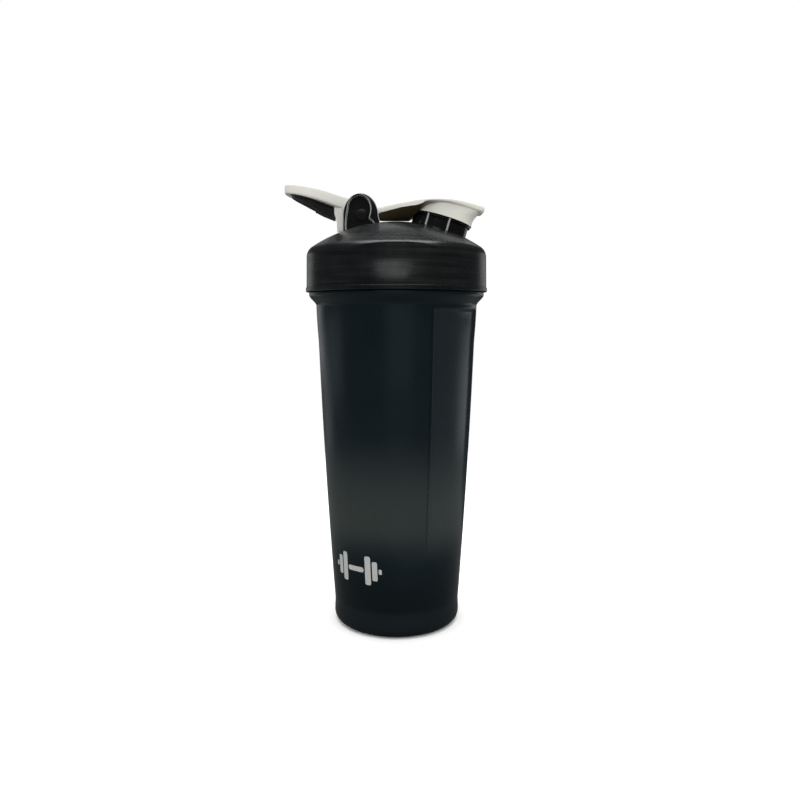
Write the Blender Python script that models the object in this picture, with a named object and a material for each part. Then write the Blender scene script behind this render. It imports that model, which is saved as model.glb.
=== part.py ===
"""Protein shaker bottle: a tapered cup, a screw lid, a flip cap over the pouring spout and a carry loop.

Metres, +Z up. The origin is the centre of the base on the table. +X points to the spout, and -Y is the
front. The lid's dome, the spout, the hinge ears and the screw thread are one moulding; the flip cap and
the carry loop share one hinge pin between the ears.
"""

import math

import bmesh
import bpy
from mathutils import Matrix, Vector

MM = 0.001

# Clearances
TOUCH_GAP = 0.3 * MM  # between pieces that rest against each other
PIN_PLAY = 0.15 * MM  # radial, between the hinge pin and what turns on it

# Cup
FOOT_RADIUS = 33.5 * MM
FOOT_HEIGHT = 8.4 * MM
FOOT_CORNER = 4.6 * MM
FOOT_SLOPE = 5.0 * MM  # the height over which the foot draws in to the wall
BASE_RECESS = 0.8 * MM
BASE_RECESS_RADIUS = 27.0 * MM
WALL_BOTTOM_RADIUS = 33.1 * MM
WALL_TOP_RADIUS = 40.9 * MM
WALL_TOP = 155.3 * MM
WALL_CROWN = 0.36  # how far the wall's side bows out between its ends
WALL_THICKNESS = 1.9 * MM
FLOOR_THICKNESS = 2.4 * MM
FLOOR_CORNER = 5.0 * MM
FLARE_RADIUS = 41.7 * MM
COLLAR_BOTTOM = 167.6 * MM
COLLAR_FULL = 173.3 * MM  # where its outward curve ends
COLLAR_TOP = 174.3 * MM
COLLAR_RADIUS = 45.4 * MM
NECK_RADIUS = 41.5 * MM
NECK_INSIDE = 39.4 * MM
CUP_HEIGHT = 190.0 * MM

# Two pressed grip panels in the cup's wall, opposite each other
PANEL_CENTRES = (-39.0, 141.0)
PANEL_HALF_ANGLE = 25.0
PANEL_EDGE_ANGLE = 1.2
PANEL_BOTTOM = 38.0 * MM
PANEL_TOP = 166.5 * MM
PANEL_LEDGE = 2.5 * MM
PANEL_STEP = 1.0 * MM
PANEL_FLATNESS = 0.35

# Lid
LID_RADIUS = 47.0 * MM  # at the slim bead round its lower edge
LID_BEAD = 0.35 * MM
LID_BEAD_HEIGHT = 2.3 * MM
LID_SHOULDER_RADIUS = 46.4 * MM
LID_SHOULDER_CORNER = 6.0 * MM
LID_BOTTOM = 174.7 * MM
LID_INSIDE = 44.0 * MM
LID_HEIGHT = 210.5 * MM  # at the dome's top
DOME_RADIUS = 79.5 * MM
DOME_THICKNESS = 2.2 * MM
RIB_OUTSIDE = 38.6 * MM
RIB_INSIDE = 37.4 * MM
RIB_DEPTH = 0.6 * MM  # how far the rib reaches into the cup's mouth
GASKET_SEAT = 192.4 * MM
SCOOP_HALF_ANGLE = 27.0
SCOOP_DEPTH = 1.6 * MM
SCOOP_BOTTOM = 177.6 * MM
SCOOP_FULL = 190.0 * MM

# Two-start screw thread
THREAD_LEAD = 8.0 * MM
THREAD_STARTS = 2
THREAD_ROOT_WIDTH = 1.9 * MM
THREAD_CREST_WIDTH = 0.9 * MM
THREAD_EMBED = 0.4 * MM
CUP_THREAD_CREST = 43.1 * MM
CUP_THREAD_START = 177.0 * MM
CUP_THREAD_TURNS = 1.2
LID_THREAD_CREST = 42.1 * MM
LID_THREAD_TURNS = 0.8

# Spout, in its own frame: its axis leans towards +X and its heights start at the dome
SPOUT_LEAN = 16.0
SPOUT_FOOT = Vector((21.7 * MM, 0, 206.5 * MM))
SPOUT_RADIUS = 14.5 * MM
SPOUT_RING_RADIUS = 15.5 * MM
SPOUT_RING_BOTTOM = 4.2 * MM
SPOUT_RING_TOP = 5.5 * MM
SPOUT_NECK_RADIUS = 13.7 * MM
SPOUT_RIM = 7.6 * MM
SPOUT_BORE = 11.0 * MM
SPOUT_ROOT = -7.0 * MM
SPOUT_RIB_ANGLES = (-118, -76, 76, 118)
SPOUT_RIB_BOTTOM = -1.5 * MM
SPOUT_RIB_SIZE = 0.5 * MM

# Hinge: pin, ears, hubs
PIVOT = Vector((-17.5 * MM, 0, 213.0 * MM))
PIN_RADIUS = 1.75 * MM
PIN_HEAD_RADIUS = 3.0 * MM
PIN_HEAD = 1.3 * MM
EAR_CENTRE_X = -17.9 * MM
EAR_RADIUS = 8.9 * MM
EAR_TOP = 223.5 * MM
EAR_INSIDE = 8.6 * MM
EAR_OUTSIDE = 12.6 * MM
EAR_RISE = 11.0 * MM  # from where its sides begin to close to its top
EAR_ROOT = 9 * MM  # how far its sides run down below the dome's top
EAR_WEB = 1.2 * MM
HOLLOW_CENTRE_X = -18.6 * MM
HOLLOW_RADIUS = 5.8 * MM
HOLLOW_TOP = 222.8 * MM
HOLLOW_RISE = 6.8 * MM
HUB_RADIUS = 4.0 * MM

# Flip cap
ARM_HALF_WIDTH = 4.5 * MM
ARM_END_X = -8.0 * MM  # where the arm begins to widen, just past the ears
ARM_UNDERSIDE = 211.2 * MM
ARM_EDGE = 4.0 * MM  # how thick the arm is at its sides, where its keel begins
KEEL_POWER = 1.4  # of the keel's sides: 1 is a plain V
CAP_CORNER = 0.6  # of the section's corners: 1 is an ellipse, 0 a rectangle
RING_CLEARANCE = 0.4 * MM
SKIRT_RADIUS = 16.0 * MM
SKIRT_INSIDE = 14.8 * MM
SKIRT_BOTTOM = SPOUT_RING_TOP + RING_CLEARANCE
CAP_CEILING = 9.2 * MM
CAP_TIP_X = 45.0 * MM
CAP_TIP_LENGTH = 2 * MM  # of the rounding at the tip
CAP_CREST_X = 18.0 * MM
CAP_CREST = 221.4 * MM
CAP_FALL_TO_ARM = 2.4 * MM  # as far back from the crest as the tip is in front of it
CAP_FALL_TO_TIP = 2.8 * MM
CAP_UNDERSIDE_X = 20 * MM  # where the underside is highest
CAP_UNDERSIDE = 218.0 * MM
UNDERSIDE_FALL_TO_ARM = 6.6 * MM
UNDERSIDE_FALL_TO_TIP = 3.9 * MM
CAP_HALF_WIDTH = 17.6 * MM
CAP_SHOULDER_WIDTH = 11.4 * MM  # half width where the arm meets the plate
CAP_TAB_WIDTH = 7.0 * MM  # half width at the thumb tab
CAP_WIDEST_X = 24 * MM
CAP_MIDDLE_X = 25.8 * MM
PLATE_REACH = 18.4 * MM
PLATE_HALF_WIDTH = 16.4 * MM

# Plug seal in the flip cap
PLUG_FLANGE_RADIUS = 13.9 * MM
PLUG_FLANGE = 1.0 * MM
PLUG_RADIUS = 10.3 * MM
PLUG_TIP_RADIUS = 9.7 * MM
PLUG_WALL = 1.5 * MM
PLUG_DEPTH = 2.2 * MM

# Carry loop
LEG_INSIDE = 5.0 * MM
LEG_OUTSIDE = 8.2 * MM
LOOP_HALF_SECTION = 1.6 * MM
LOOP_HALF_WIDTH = 15.0 * MM  # at the middle of the band
LOOP_TIP_X = -57.4 * MM
LEG_X = -27 * MM  # where the band's heights are measured from
BAND_TOP = 222.9 * MM
BAND_TOP_SLOPE = 0.21
BAND_BOTTOM = 216.2 * MM
BAND_BOTTOM_SLOPE = 0.285
LEG_BACK_X = -31.4 * MM  # where the legs leave the band
HEEL_X = -29.9 * MM  # the back of the heel that reaches down to the dome
HEEL_WIDTH = 3.7 * MM
LOOP_ROUND_LENGTH = 14.0 * MM
GRIP_WIDTH = 2.0 * MM
GRIP_END_X = -30.9 * MM
GRIP_BELOW_TOP = 1.8 * MM
GRIP_BELOW_BOTTOM = 2.0 * MM
GRIP_HANG = 3.4 * MM  # how much further it hangs at its ends

# Gasket
GASKET_INSIDE = 38.9 * MM
GASKET_OUTSIDE = 42.6 * MM

# Whisk ball
WHISK_RADIUS = 24.0 * MM  # to the middle of the wire
WIRE_RADIUS = 1.2 * MM
WHISK_TURNS = 13
WHISK_POLE_ANGLE = 9.0

# Fineness
ROUND_STEPS = 52
SPOUT_STEPS = 40
PIN_STEPS = 24


def smooth_step(value, start, end):
    """0 at start, 1 at end, with no kink at either."""
    share = min(max((value - start) / (end - start), 0), 1)
    return share * share * (3 - 2 * share)


def even_angles(steps):
    return [math.tau * step / steps for step in range(steps)]


def between(start, end, steps):
    """Even values from start to end, both included."""
    return [start + (end - start) * step / steps for step in range(steps + 1)]


def arc(centre_x, centre_z, radius, start, end, steps):
    """Points along a circle from one angle to another, in degrees."""
    points = []
    for degrees in between(start, end, steps):
        angle = math.radians(degrees)
        points.append((centre_x + radius * math.cos(angle), centre_z + radius * math.sin(angle)))
    return points


def turn_from(angle, centre):
    """The unsigned turn in degrees between an angle in radians and a centre in degrees."""
    return abs((math.degrees(angle) - centre + 180) % 360 - 180)


def plastic(name, colour, roughness):
    material = bpy.data.materials.new(name)
    material.use_nodes = True
    shader = material.node_tree.nodes["Principled BSDF"]
    shader.inputs["Base Color"].default_value = (*colour, 1)
    shader.inputs["Roughness"].default_value = roughness
    material.diffuse_color = (*colour, 1)
    return material


def steel(name):
    material = plastic(name, (0.62, 0.62, 0.63), 0.22)
    material.node_tree.nodes["Principled BSDF"].inputs["Metallic"].default_value = 1
    return material


def add_object(name, bm, material, origin=Vector((0, 0, 0))):
    """Closes up a bmesh into an object whose origin is at the given point."""
    bmesh.ops.recalc_face_normals(bm, faces=bm.faces)
    bmesh.ops.translate(bm, verts=bm.verts, vec=-origin)
    mesh = bpy.data.meshes.new(name)
    bm.to_mesh(mesh)
    bm.free()
    mesh.shade_smooth()
    mesh.set_sharp_from_angle(angle=math.radians(35))
    obj = bpy.data.objects.new(name, mesh)
    obj.location = origin
    if material:
        mesh.materials.append(material)
    bpy.context.scene.collection.objects.link(obj)
    return obj


def helper(name, bm):
    """A solid that only cuts or joins another one."""
    obj = add_object(name, bm, None)
    obj.hide_render = True
    obj.display_type = "WIRE"
    return obj


def combine(obj, operation, other):
    modifier = obj.modifiers.new(other.name, "BOOLEAN")
    modifier.operation = operation
    modifier.object = other
    modifier.solver = "EXACT"


def bridge_rings(bm, first, second):
    """Faces between two rings of points, of which one may be a single point."""
    count = max(len(first), len(second))
    if count == 1:
        return
    for index in range(count):
        after = (index + 1) % count
        corners = [first[index % len(first)], first[after % len(first)]]
        corners += [second[after % len(second)], second[index % len(second)]]
        bm.faces.new(list(dict.fromkeys(corners)))


def turned(profile, angles, reshape=None):
    """Turns a profile of (radius, height) points round Z; one that starts and ends off the axis is a ring."""
    bm = bmesh.new()
    rings = []
    for radius, height in profile:
        if radius == 0:
            rings.append([bm.verts.new((0, 0, height))])
            continue
        ring = []
        for angle in angles:
            out = reshape(angle, radius, height) if reshape else radius
            ring.append(bm.verts.new((out * math.cos(angle), out * math.sin(angle), height)))
        rings.append(ring)
    for first, second in zip(rings, rings[1:]):
        bridge_rings(bm, first, second)
    if len(rings[0]) > 1:
        bridge_rings(bm, rings[-1], rings[0])
    return bm


def lofted(rings):
    """A solid through rings of points, closed by a flat face at each end."""
    bm = bmesh.new()
    made = [[bm.verts.new(point) for point in ring] for ring in rings]
    for first, second in zip(made, made[1:]):
        bridge_rings(bm, first, second)
    bm.faces.new(made[0])
    bm.faces.new(made[-1])
    return bm


def slab(outline, low_y, high_y):
    """An outline of (x, z) points made solid from one y to another."""
    return lofted([[(x, y, z) for x, z in outline] for y in (low_y, high_y)])


def along_y(profile, steps):
    """A turned profile whose axis is the hinge's: its heights run along Y from the pivot."""
    bm = turned(profile, even_angles(steps))
    place = Matrix.Translation(PIVOT) @ Matrix.Rotation(math.pi / 2, 4, "X")
    bmesh.ops.transform(bm, verts=bm.verts, matrix=place)
    return bm


def rod_profile(radius, low, high):
    return [(0, low), (radius, low), (radius, high), (0, high)]


def spout_frame():
    return Matrix.Translation(SPOUT_FOOT) @ Matrix.Rotation(math.radians(SPOUT_LEAN), 4, "Y")


def on_spout(bm):
    bmesh.ops.transform(bm, verts=bm.verts, matrix=spout_frame())
    return bm


def spout_rod(radius, low, high):
    """A round solid on the spout's axis."""
    return on_spout(turned(rod_profile(radius, low, high), even_angles(SPOUT_STEPS)))


def dome_ball(radius, name):
    """A ball about the dome's centre, for trimming what stands on the dome."""
    bm = bmesh.new()
    bmesh.ops.create_uvsphere(bm, u_segments=48, v_segments=48, radius=radius)
    bmesh.ops.translate(bm, verts=bm.verts, vec=(0, 0, LID_HEIGHT - DOME_RADIUS))
    return helper(name, bm)


# Cup


def wall_radius(height):
    """The cup's outer radius: a straight taper, bowed out a little, then a flare under the collar."""
    share = min((height - FOOT_HEIGHT) / (WALL_TOP - FOOT_HEIGHT), 1)
    bowed = share + WALL_CROWN * share * (1 - share)
    taper = (WALL_TOP_RADIUS - WALL_BOTTOM_RADIUS) * bowed
    flare = (FLARE_RADIUS - WALL_TOP_RADIUS) * smooth_step(height, WALL_TOP - 8 * MM, COLLAR_BOTTOM)
    return WALL_BOTTOM_RADIUS + taper + flare


def panel_depth(angle, radius, height):
    """How far the grip panels press the wall in, at an angle and a height."""
    upper = smooth_step(height, PANEL_TOP, PANEL_TOP - PANEL_LEDGE)
    lower = smooth_step(height, PANEL_BOTTOM, PANEL_BOTTOM + 45 * MM)
    depth = 0
    for centre in PANEL_CENTRES:
        turn = turn_from(angle, centre)
        if turn < PANEL_HALF_ANGLE:
            chord = math.cos(math.radians(PANEL_HALF_ANGLE)) / math.cos(math.radians(turn))
            flat = PANEL_FLATNESS * radius * (1 - chord)
            edge = min((PANEL_HALF_ANGLE - turn) / PANEL_EDGE_ANGLE, 1)
            depth = (PANEL_STEP * edge + flat) * upper * lower
    return depth


def pressed_wall(angle, radius, height):
    return radius - panel_depth(angle, radius, height)


def cup_angles():
    """Even steps, with a column on each side of every panel edge."""
    angles = {round(angle, 6) for angle in even_angles(ROUND_STEPS)}
    for centre in PANEL_CENTRES:
        for side in (-1, 1):
            edge = centre + side * PANEL_HALF_ANGLE
            inner = centre + side * (PANEL_HALF_ANGLE - PANEL_EDGE_ANGLE)
            for degrees in (edge, inner):
                angles.add(round(math.radians(degrees) % math.tau, 6))
    return sorted(angles)


def cup_profile():
    floor = BASE_RECESS + FLOOR_THICKNESS
    ledge = PANEL_TOP - PANEL_LEDGE
    heights = [FOOT_HEIGHT + FOOT_SLOPE / 2, 24 * MM, PANEL_BOTTOM, 54 * MM, 72 * MM, 94 * MM, 118 * MM]
    heights += [147 * MM, 156 * MM, ledge, ledge + PANEL_LEDGE / 2, PANEL_TOP]
    foot_radius = FOOT_RADIUS - FOOT_CORNER
    profile = [(0, BASE_RECESS), (BASE_RECESS_RADIUS, BASE_RECESS), (BASE_RECESS_RADIUS + 1 * MM, 0)]
    profile += arc(foot_radius, FOOT_CORNER, FOOT_CORNER, -90, 0, 4)
    profile.append((FOOT_RADIUS, FOOT_HEIGHT - FOOT_SLOPE / 2))
    profile += [(wall_radius(height), height) for height in heights]
    for height in between(COLLAR_BOTTOM, COLLAR_FULL, 4):
        out = (COLLAR_RADIUS - FLARE_RADIUS) * smooth_step(height, COLLAR_BOTTOM, COLLAR_FULL)
        profile.append((FLARE_RADIUS + out, height))
    profile += [(COLLAR_RADIUS, COLLAR_TOP - 0.3 * MM), (COLLAR_RADIUS - 0.3 * MM, COLLAR_TOP)]
    profile += [(NECK_RADIUS, COLLAR_TOP)]
    lip = (NECK_RADIUS - NECK_INSIDE) / 2
    profile += arc(NECK_RADIUS - lip, CUP_HEIGHT - lip, lip, 0, 180, 4)
    profile += [(NECK_INSIDE, COLLAR_TOP), (FLARE_RADIUS - WALL_THICKNESS - 0.4 * MM, COLLAR_BOTTOM)]
    inside = [PANEL_TOP, ledge, 147 * MM, 105 * MM, 72 * MM, PANEL_BOTTOM]
    profile += [(wall_radius(height) - WALL_THICKNESS, height) for height in inside]
    inner_radius = wall_radius(floor + FLOOR_CORNER) - WALL_THICKNESS
    profile += arc(inner_radius - FLOOR_CORNER, floor + FLOOR_CORNER, FLOOR_CORNER, 0, -90, 3)
    profile.append((0, floor))
    return profile


def thread_ridge(wall, crest, start_height, turns, first_angle):
    """One ridge of the screw thread, from just inside the wall to its crest, thinning out at its ends."""
    steps = round(turns * 30)
    embedded = wall + math.copysign(THREAD_EMBED, wall - crest)
    rings = []
    for share in between(0, 1, steps):
        angle = first_angle + math.tau * turns * share
        height = start_height + THREAD_LEAD * turns * share
        fade = min(1, 0.1 + share * 8, 0.1 + (1 - share) * 8)
        top = wall + (crest - wall) * fade
        root = THREAD_ROOT_WIDTH / 2
        tip = THREAD_CREST_WIDTH / 2
        section = [(embedded, height - root), (top, height - tip)]
        section += [(top, height + tip), (embedded, height + root)]
        rings.append([(radius * math.cos(angle), radius * math.sin(angle), z) for radius, z in section])
    return lofted(rings)


def add_thread(obj, wall, crest, start_height, turns):
    for start in range(THREAD_STARTS):
        ridge = thread_ridge(wall, crest, start_height, turns, math.tau * start / THREAD_STARTS)
        combine(obj, "UNION", helper(f"{obj.name}_thread_{start + 1}", ridge))


def make_cup(material):
    cup = add_object("cup", turned(cup_profile(), cup_angles(), pressed_wall), material)
    add_thread(cup, NECK_RADIUS, CUP_THREAD_CREST, CUP_THREAD_START, CUP_THREAD_TURNS)


# Lid


def dome_height(radius, thickness=0):
    """The height of the dome's outside, or of its inside, at a distance from the axis."""
    return LID_HEIGHT - DOME_RADIUS + math.sqrt((DOME_RADIUS - thickness) ** 2 - radius**2)


def lid_shoulder_height():
    """The height where the lid's side ends and its rounded shoulder begins."""
    shoulder_end = LID_SHOULDER_RADIUS - LID_SHOULDER_CORNER / 2
    return dome_height(shoulder_end) - LID_SHOULDER_CORNER * math.sin(math.radians(60))


def lid_side(height):
    """The radius of the lid's side above its bead, which draws in a little towards the shoulder."""
    low = LID_BOTTOM + LID_BEAD_HEIGHT
    share = min((height - low) / (lid_shoulder_height() - low), 1)
    widest = LID_RADIUS - LID_BEAD
    return widest + (LID_SHOULDER_RADIUS - widest) * share


def scooped_side(angle, radius, height):
    """Two finger scoops, at the front and the back, flatten the top of the lid's outer side."""
    if radius < LID_INSIDE + 0.2 * MM or height < SCOOP_BOTTOM:
        return radius
    depth = 0
    for centre in (-90, 90):
        share = turn_from(angle, centre) / SCOOP_HALF_ANGLE
        depth = max(depth, SCOOP_DEPTH * (1 - share**2))
    face = lid_side(height) - depth * smooth_step(height, SCOOP_BOTTOM, SCOOP_FULL)
    return min(radius, face) if depth > 0 else radius


def lid_profile():
    shoulder_end = LID_SHOULDER_RADIUS - LID_SHOULDER_CORNER / 2
    centre = LID_SHOULDER_RADIUS - LID_SHOULDER_CORNER
    bead_top = LID_BOTTOM + LID_BEAD_HEIGHT
    profile = [(LID_INSIDE, LID_BOTTOM), (LID_RADIUS - 0.5 * MM, LID_BOTTOM)]
    profile += [(LID_RADIUS, LID_BOTTOM + 0.5 * MM), (LID_RADIUS, bead_top - LID_BEAD)]
    profile += [(lid_side(height), height) for height in (bead_top, SCOOP_BOTTOM, 184 * MM, 189 * MM)]
    profile += arc(centre, lid_shoulder_height(), LID_SHOULDER_CORNER, 0, 60, 6)
    outside = [38 * MM, 30 * MM, 21 * MM, 11 * MM]
    profile += [(radius, dome_height(radius)) for radius in outside if radius < shoulder_end]
    profile += [(0, LID_HEIGHT), (0, LID_HEIGHT - DOME_THICKNESS)]
    inside = [14 * MM, 27 * MM, RIB_INSIDE]
    profile += [(radius, dome_height(radius, DOME_THICKNESS)) for radius in inside]
    rib_bottom = CUP_HEIGHT - RIB_DEPTH
    profile += [(RIB_INSIDE, rib_bottom), (RIB_OUTSIDE, rib_bottom), (RIB_OUTSIDE, GASKET_SEAT)]
    profile += [(LID_INSIDE, GASKET_SEAT)]
    return profile


def arch(centre_x, top, half_width, rise, steps):
    """Half an ellipse of (x, z) points, from its right side over its top to its left side."""
    return [(centre_x + half_width * x, top - rise + rise * z) for x, z in arc(0, 0, 1, 0, 180, steps)]


def ear_outline():
    """The hood seen from the front: a tall arch whose sides run down into the dome."""
    root = LID_HEIGHT - EAR_ROOT
    right = EAR_CENTRE_X + EAR_RADIUS
    outline = arch(EAR_CENTRE_X, EAR_TOP, EAR_RADIUS, EAR_RISE, 16)
    outline += [(EAR_CENTRE_X - EAR_RADIUS - 0.2 * MM, root), (right + 2.4 * MM, root)]
    outline.append((right + 0.8 * MM, LID_HEIGHT - 1 * MM))
    return outline


def ear_hollow_outline():
    """The hollow in the hood's outer face: it widens downwards and has a small kink on its spout side."""
    root = LID_HEIGHT - EAR_ROOT
    spring = HOLLOW_TOP - HOLLOW_RISE
    left = HOLLOW_CENTRE_X - HOLLOW_RADIUS
    right = HOLLOW_CENTRE_X + HOLLOW_RADIUS
    outline = arch(HOLLOW_CENTRE_X, HOLLOW_TOP, HOLLOW_RADIUS, HOLLOW_RISE, 14)
    outline += [(left - 0.7 * MM, spring - 3.5 * MM), (left - 1.1 * MM, spring - 8 * MM)]
    outline += [(left - 0.9 * MM, root), (right + 3.2 * MM, root), (right + 1.6 * MM, spring - 7.2 * MM)]
    outline += [(right - 0.4 * MM, spring - 5.2 * MM), (right - 0.9 * MM, spring - 4.3 * MM)]
    outline.append((right - 0.3 * MM, spring - 2 * MM))
    return outline


def add_ear(lid, side, trim):
    """One hinge ear: a hood that is open on its outer face, with a web that the pin passes through."""
    word = "front" if side < 0 else "back"
    ear = helper(f"ear_{word}", slab(ear_outline(), side * EAR_INSIDE, side * EAR_OUTSIDE))
    reach = EAR_OUTSIDE + 1 * MM
    hollow = slab(ear_hollow_outline(), side * (EAR_INSIDE + EAR_WEB), side * reach)
    combine(ear, "DIFFERENCE", helper(f"ear_hollow_{word}", hollow))
    combine(ear, "DIFFERENCE", trim)
    combine(lid, "UNION", ear)


def spout_profile():
    """The spout's outside, with a ring that the flip cap's skirt stops above. The bore is cut later."""
    lip = 0.7 * MM
    profile = [(SPOUT_BORE - 1 * MM, SPOUT_ROOT), (SPOUT_RADIUS, SPOUT_ROOT)]
    profile += [(SPOUT_RADIUS, SPOUT_RING_BOTTOM), (SPOUT_RING_RADIUS, SPOUT_RING_BOTTOM + 0.5 * MM)]
    profile += [(SPOUT_RING_RADIUS, SPOUT_RING_TOP)]
    profile += [(SPOUT_NECK_RADIUS, SPOUT_RING_TOP)]
    profile += arc(SPOUT_NECK_RADIUS - lip, SPOUT_RIM - lip, lip, 0, 90, 3)
    profile += [(SPOUT_BORE - 1 * MM, SPOUT_RIM)]
    return profile


def add_spout(lid, trim):
    """The spout, with slim upright ribs up to its ring at the front and the back."""
    spout = helper("spout", on_spout(turned(spout_profile(), even_angles(SPOUT_STEPS))))
    out = SPOUT_RING_RADIUS - SPOUT_RIB_SIZE / 2
    for rib, degrees in enumerate(SPOUT_RIB_ANGLES):
        angle = math.radians(degrees)
        profile = rod_profile(SPOUT_RIB_SIZE, SPOUT_RIB_BOTTOM, SPOUT_RING_TOP - 0.1 * MM)
        bm = turned(profile, even_angles(8))
        bmesh.ops.translate(bm, verts=bm.verts, vec=(out * math.cos(angle), out * math.sin(angle), 0))
        combine(spout, "UNION", helper(f"spout_rib_{rib + 1}", on_spout(bm)))
    combine(spout, "DIFFERENCE", trim)
    combine(lid, "UNION", spout)
    bore = spout_rod(SPOUT_BORE, 2 * SPOUT_ROOT, 2 * SPOUT_RIM)
    combine(lid, "DIFFERENCE", helper("spout_bore", bore))


def make_lid(material):
    lid = add_object("lid", turned(lid_profile(), even_angles(ROUND_STEPS), scooped_side), material)
    trim = dome_ball(DOME_RADIUS - DOME_THICKNESS / 2, "dome_trim")
    for side in (-1, 1):
        add_ear(lid, side, trim)
    add_spout(lid, trim)
    hole = rod_profile(PIN_RADIUS + PIN_PLAY, -EAR_OUTSIDE - 1 * MM, EAR_OUTSIDE + 1 * MM)
    combine(lid, "DIFFERENCE", helper("ear_pin_hole", along_y(hole, PIN_STEPS)))
    half_pitch = THREAD_LEAD / THREAD_STARTS / 2
    add_thread(lid, LID_INSIDE, LID_THREAD_CREST, CUP_THREAD_START + half_pitch, LID_THREAD_TURNS)


def make_gasket(material):
    low = CUP_HEIGHT + TOUCH_GAP
    high = GASKET_SEAT - TOUCH_GAP
    corner = 0.5 * MM
    profile = [(GASKET_INSIDE, low), (GASKET_OUTSIDE - corner, low), (GASKET_OUTSIDE, low + corner)]
    profile += [(GASKET_OUTSIDE, high), (GASKET_INSIDE, high)]
    add_object("lid_gasket", turned(profile, even_angles(ROUND_STEPS)), material)


# Hinge pin


def make_pin(material):
    reach = EAR_INSIDE + EAR_WEB + TOUCH_GAP
    end = reach + PIN_HEAD
    corner = 0.4 * MM
    half = [(PIN_RADIUS, reach), (PIN_HEAD_RADIUS, reach), (PIN_HEAD_RADIUS, end - corner)]
    half += [(PIN_HEAD_RADIUS - corner, end), (0, end)]
    profile = [(radius, -height) for radius, height in reversed(half)] + half
    add_object("hinge_pin", along_y(profile, PIN_STEPS), material, PIVOT)


# Flip cap


def cap_top(x):
    """The height of the flip cap's crowned top along its length."""
    from_crest = abs(x - CAP_CREST_X) / (CAP_TIP_X - CAP_CREST_X)
    if x < CAP_CREST_X:
        return CAP_CREST - CAP_FALL_TO_ARM * from_crest**2.2
    return CAP_CREST - CAP_FALL_TO_TIP * from_crest**3.4


def cap_bottom(x):
    """The height of the flip cap's underside: it rises from the arm and falls again to the thumb tab."""
    if x < CAP_UNDERSIDE_X:
        return CAP_UNDERSIDE - UNDERSIDE_FALL_TO_ARM * smooth_step(CAP_UNDERSIDE_X - x, 0, 34 * MM)
    return CAP_UNDERSIDE - UNDERSIDE_FALL_TO_TIP * smooth_step(x, CAP_UNDERSIDE_X, CAP_TIP_X + 2 * MM)


def superellipse(angle, power):
    """A point of a rounded rectangle of half width and half height 1."""
    across = math.copysign(abs(math.cos(angle)) ** power, math.cos(angle))
    up = math.copysign(abs(math.sin(angle)) ** power, math.sin(angle))
    return across, up


def cap_half_width(x):
    """The cap's half width: narrow at the hinge, round over the spout, and narrower at the thumb tab."""
    if x < CAP_WIDEST_X:
        arm = ARM_HALF_WIDTH - 0.2 * MM
        shoulder = (CAP_SHOULDER_WIDTH - arm) * smooth_step(x, ARM_END_X, ARM_END_X + 12 * MM)
        plate = (CAP_HALF_WIDTH - CAP_SHOULDER_WIDTH) * smooth_step(x, -2 * MM, 17 * MM)
        return arm + shoulder + plate
    narrowing = smooth_step(x, CAP_WIDEST_X, CAP_TIP_X + 1 * MM)
    return CAP_HALF_WIDTH - (CAP_HALF_WIDTH - CAP_TAB_WIDTH) * narrowing


def cap_keel(x):
    """How far the arm's underside has turned into a keel: all the way between the hinge and the spout."""
    return smooth_step(x, ARM_END_X - 3 * MM, ARM_END_X + 1 * MM) * smooth_step(x, 17 * MM, 9 * MM)


def cap_section(x, shrink):
    """A rounded section across the flip cap; shrink draws it in at the rounded tip."""
    middle = (cap_top(x) + cap_bottom(x)) / 2
    half_height = (cap_top(x) - cap_bottom(x)) / 2
    half_width = cap_half_width(x) - CAP_TIP_LENGTH * (1 - shrink)
    edge = cap_top(x) - ARM_EDGE
    keel_depth = edge - ARM_UNDERSIDE
    ring = []
    for angle in even_angles(20):
        across, up = superellipse(angle, CAP_CORNER)
        height = middle + half_height * shrink * up
        if up < 0:
            keel = edge - keel_depth * (1 - abs(across) ** KEEL_POWER)
            height += (keel - height) * cap_keel(x)
        ring.append((x, half_width * across, height))
    return ring


def cap_sections():
    tip_start = CAP_TIP_X - CAP_TIP_LENGTH
    rings = [cap_section(x, 1) for x in between(PIVOT.x, tip_start, 27)]
    for degrees in (35, 60, 82):
        angle = math.radians(degrees)
        rings.append(cap_section(tip_start + CAP_TIP_LENGTH * math.sin(angle), math.cos(angle)))
    return rings


def plate_ring(share):
    """A ring inside the cap's plate, at a share of its outline."""
    ring = []
    for angle in even_angles(SPOUT_STEPS):
        x = CAP_MIDDLE_X + share * PLATE_REACH * math.cos(angle)
        most = 0.93 * cap_half_width(x)
        y = share * PLATE_HALF_WIDTH * math.sin(angle)
        ring.append(Vector((x, min(max(y, -most), most), (cap_top(x) + 2 * cap_bottom(x)) / 3)))
    return ring


def skirt_rings():
    """The skirt flares from a circle round the spout up to the outline of the cap's plate."""
    place = spout_frame()
    circle = []
    for angle in even_angles(SPOUT_STEPS):
        flat = SKIRT_RADIUS * Vector((math.cos(angle), math.sin(angle), 0))
        circle.append(place @ (flat + Vector((0, 0, SKIRT_BOTTOM))))
    rings = []
    for rise in between(0, 1, 5):
        ring = []
        for low, high in zip(circle, plate_ring(1)):
            point = low.lerp(high, rise**2.1)
            point.z = low.z + (high.z - low.z) * rise
            ring.append(point)
        rings.append(ring)
    return rings + [plate_ring(0.6), plate_ring(0.15)]


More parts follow.
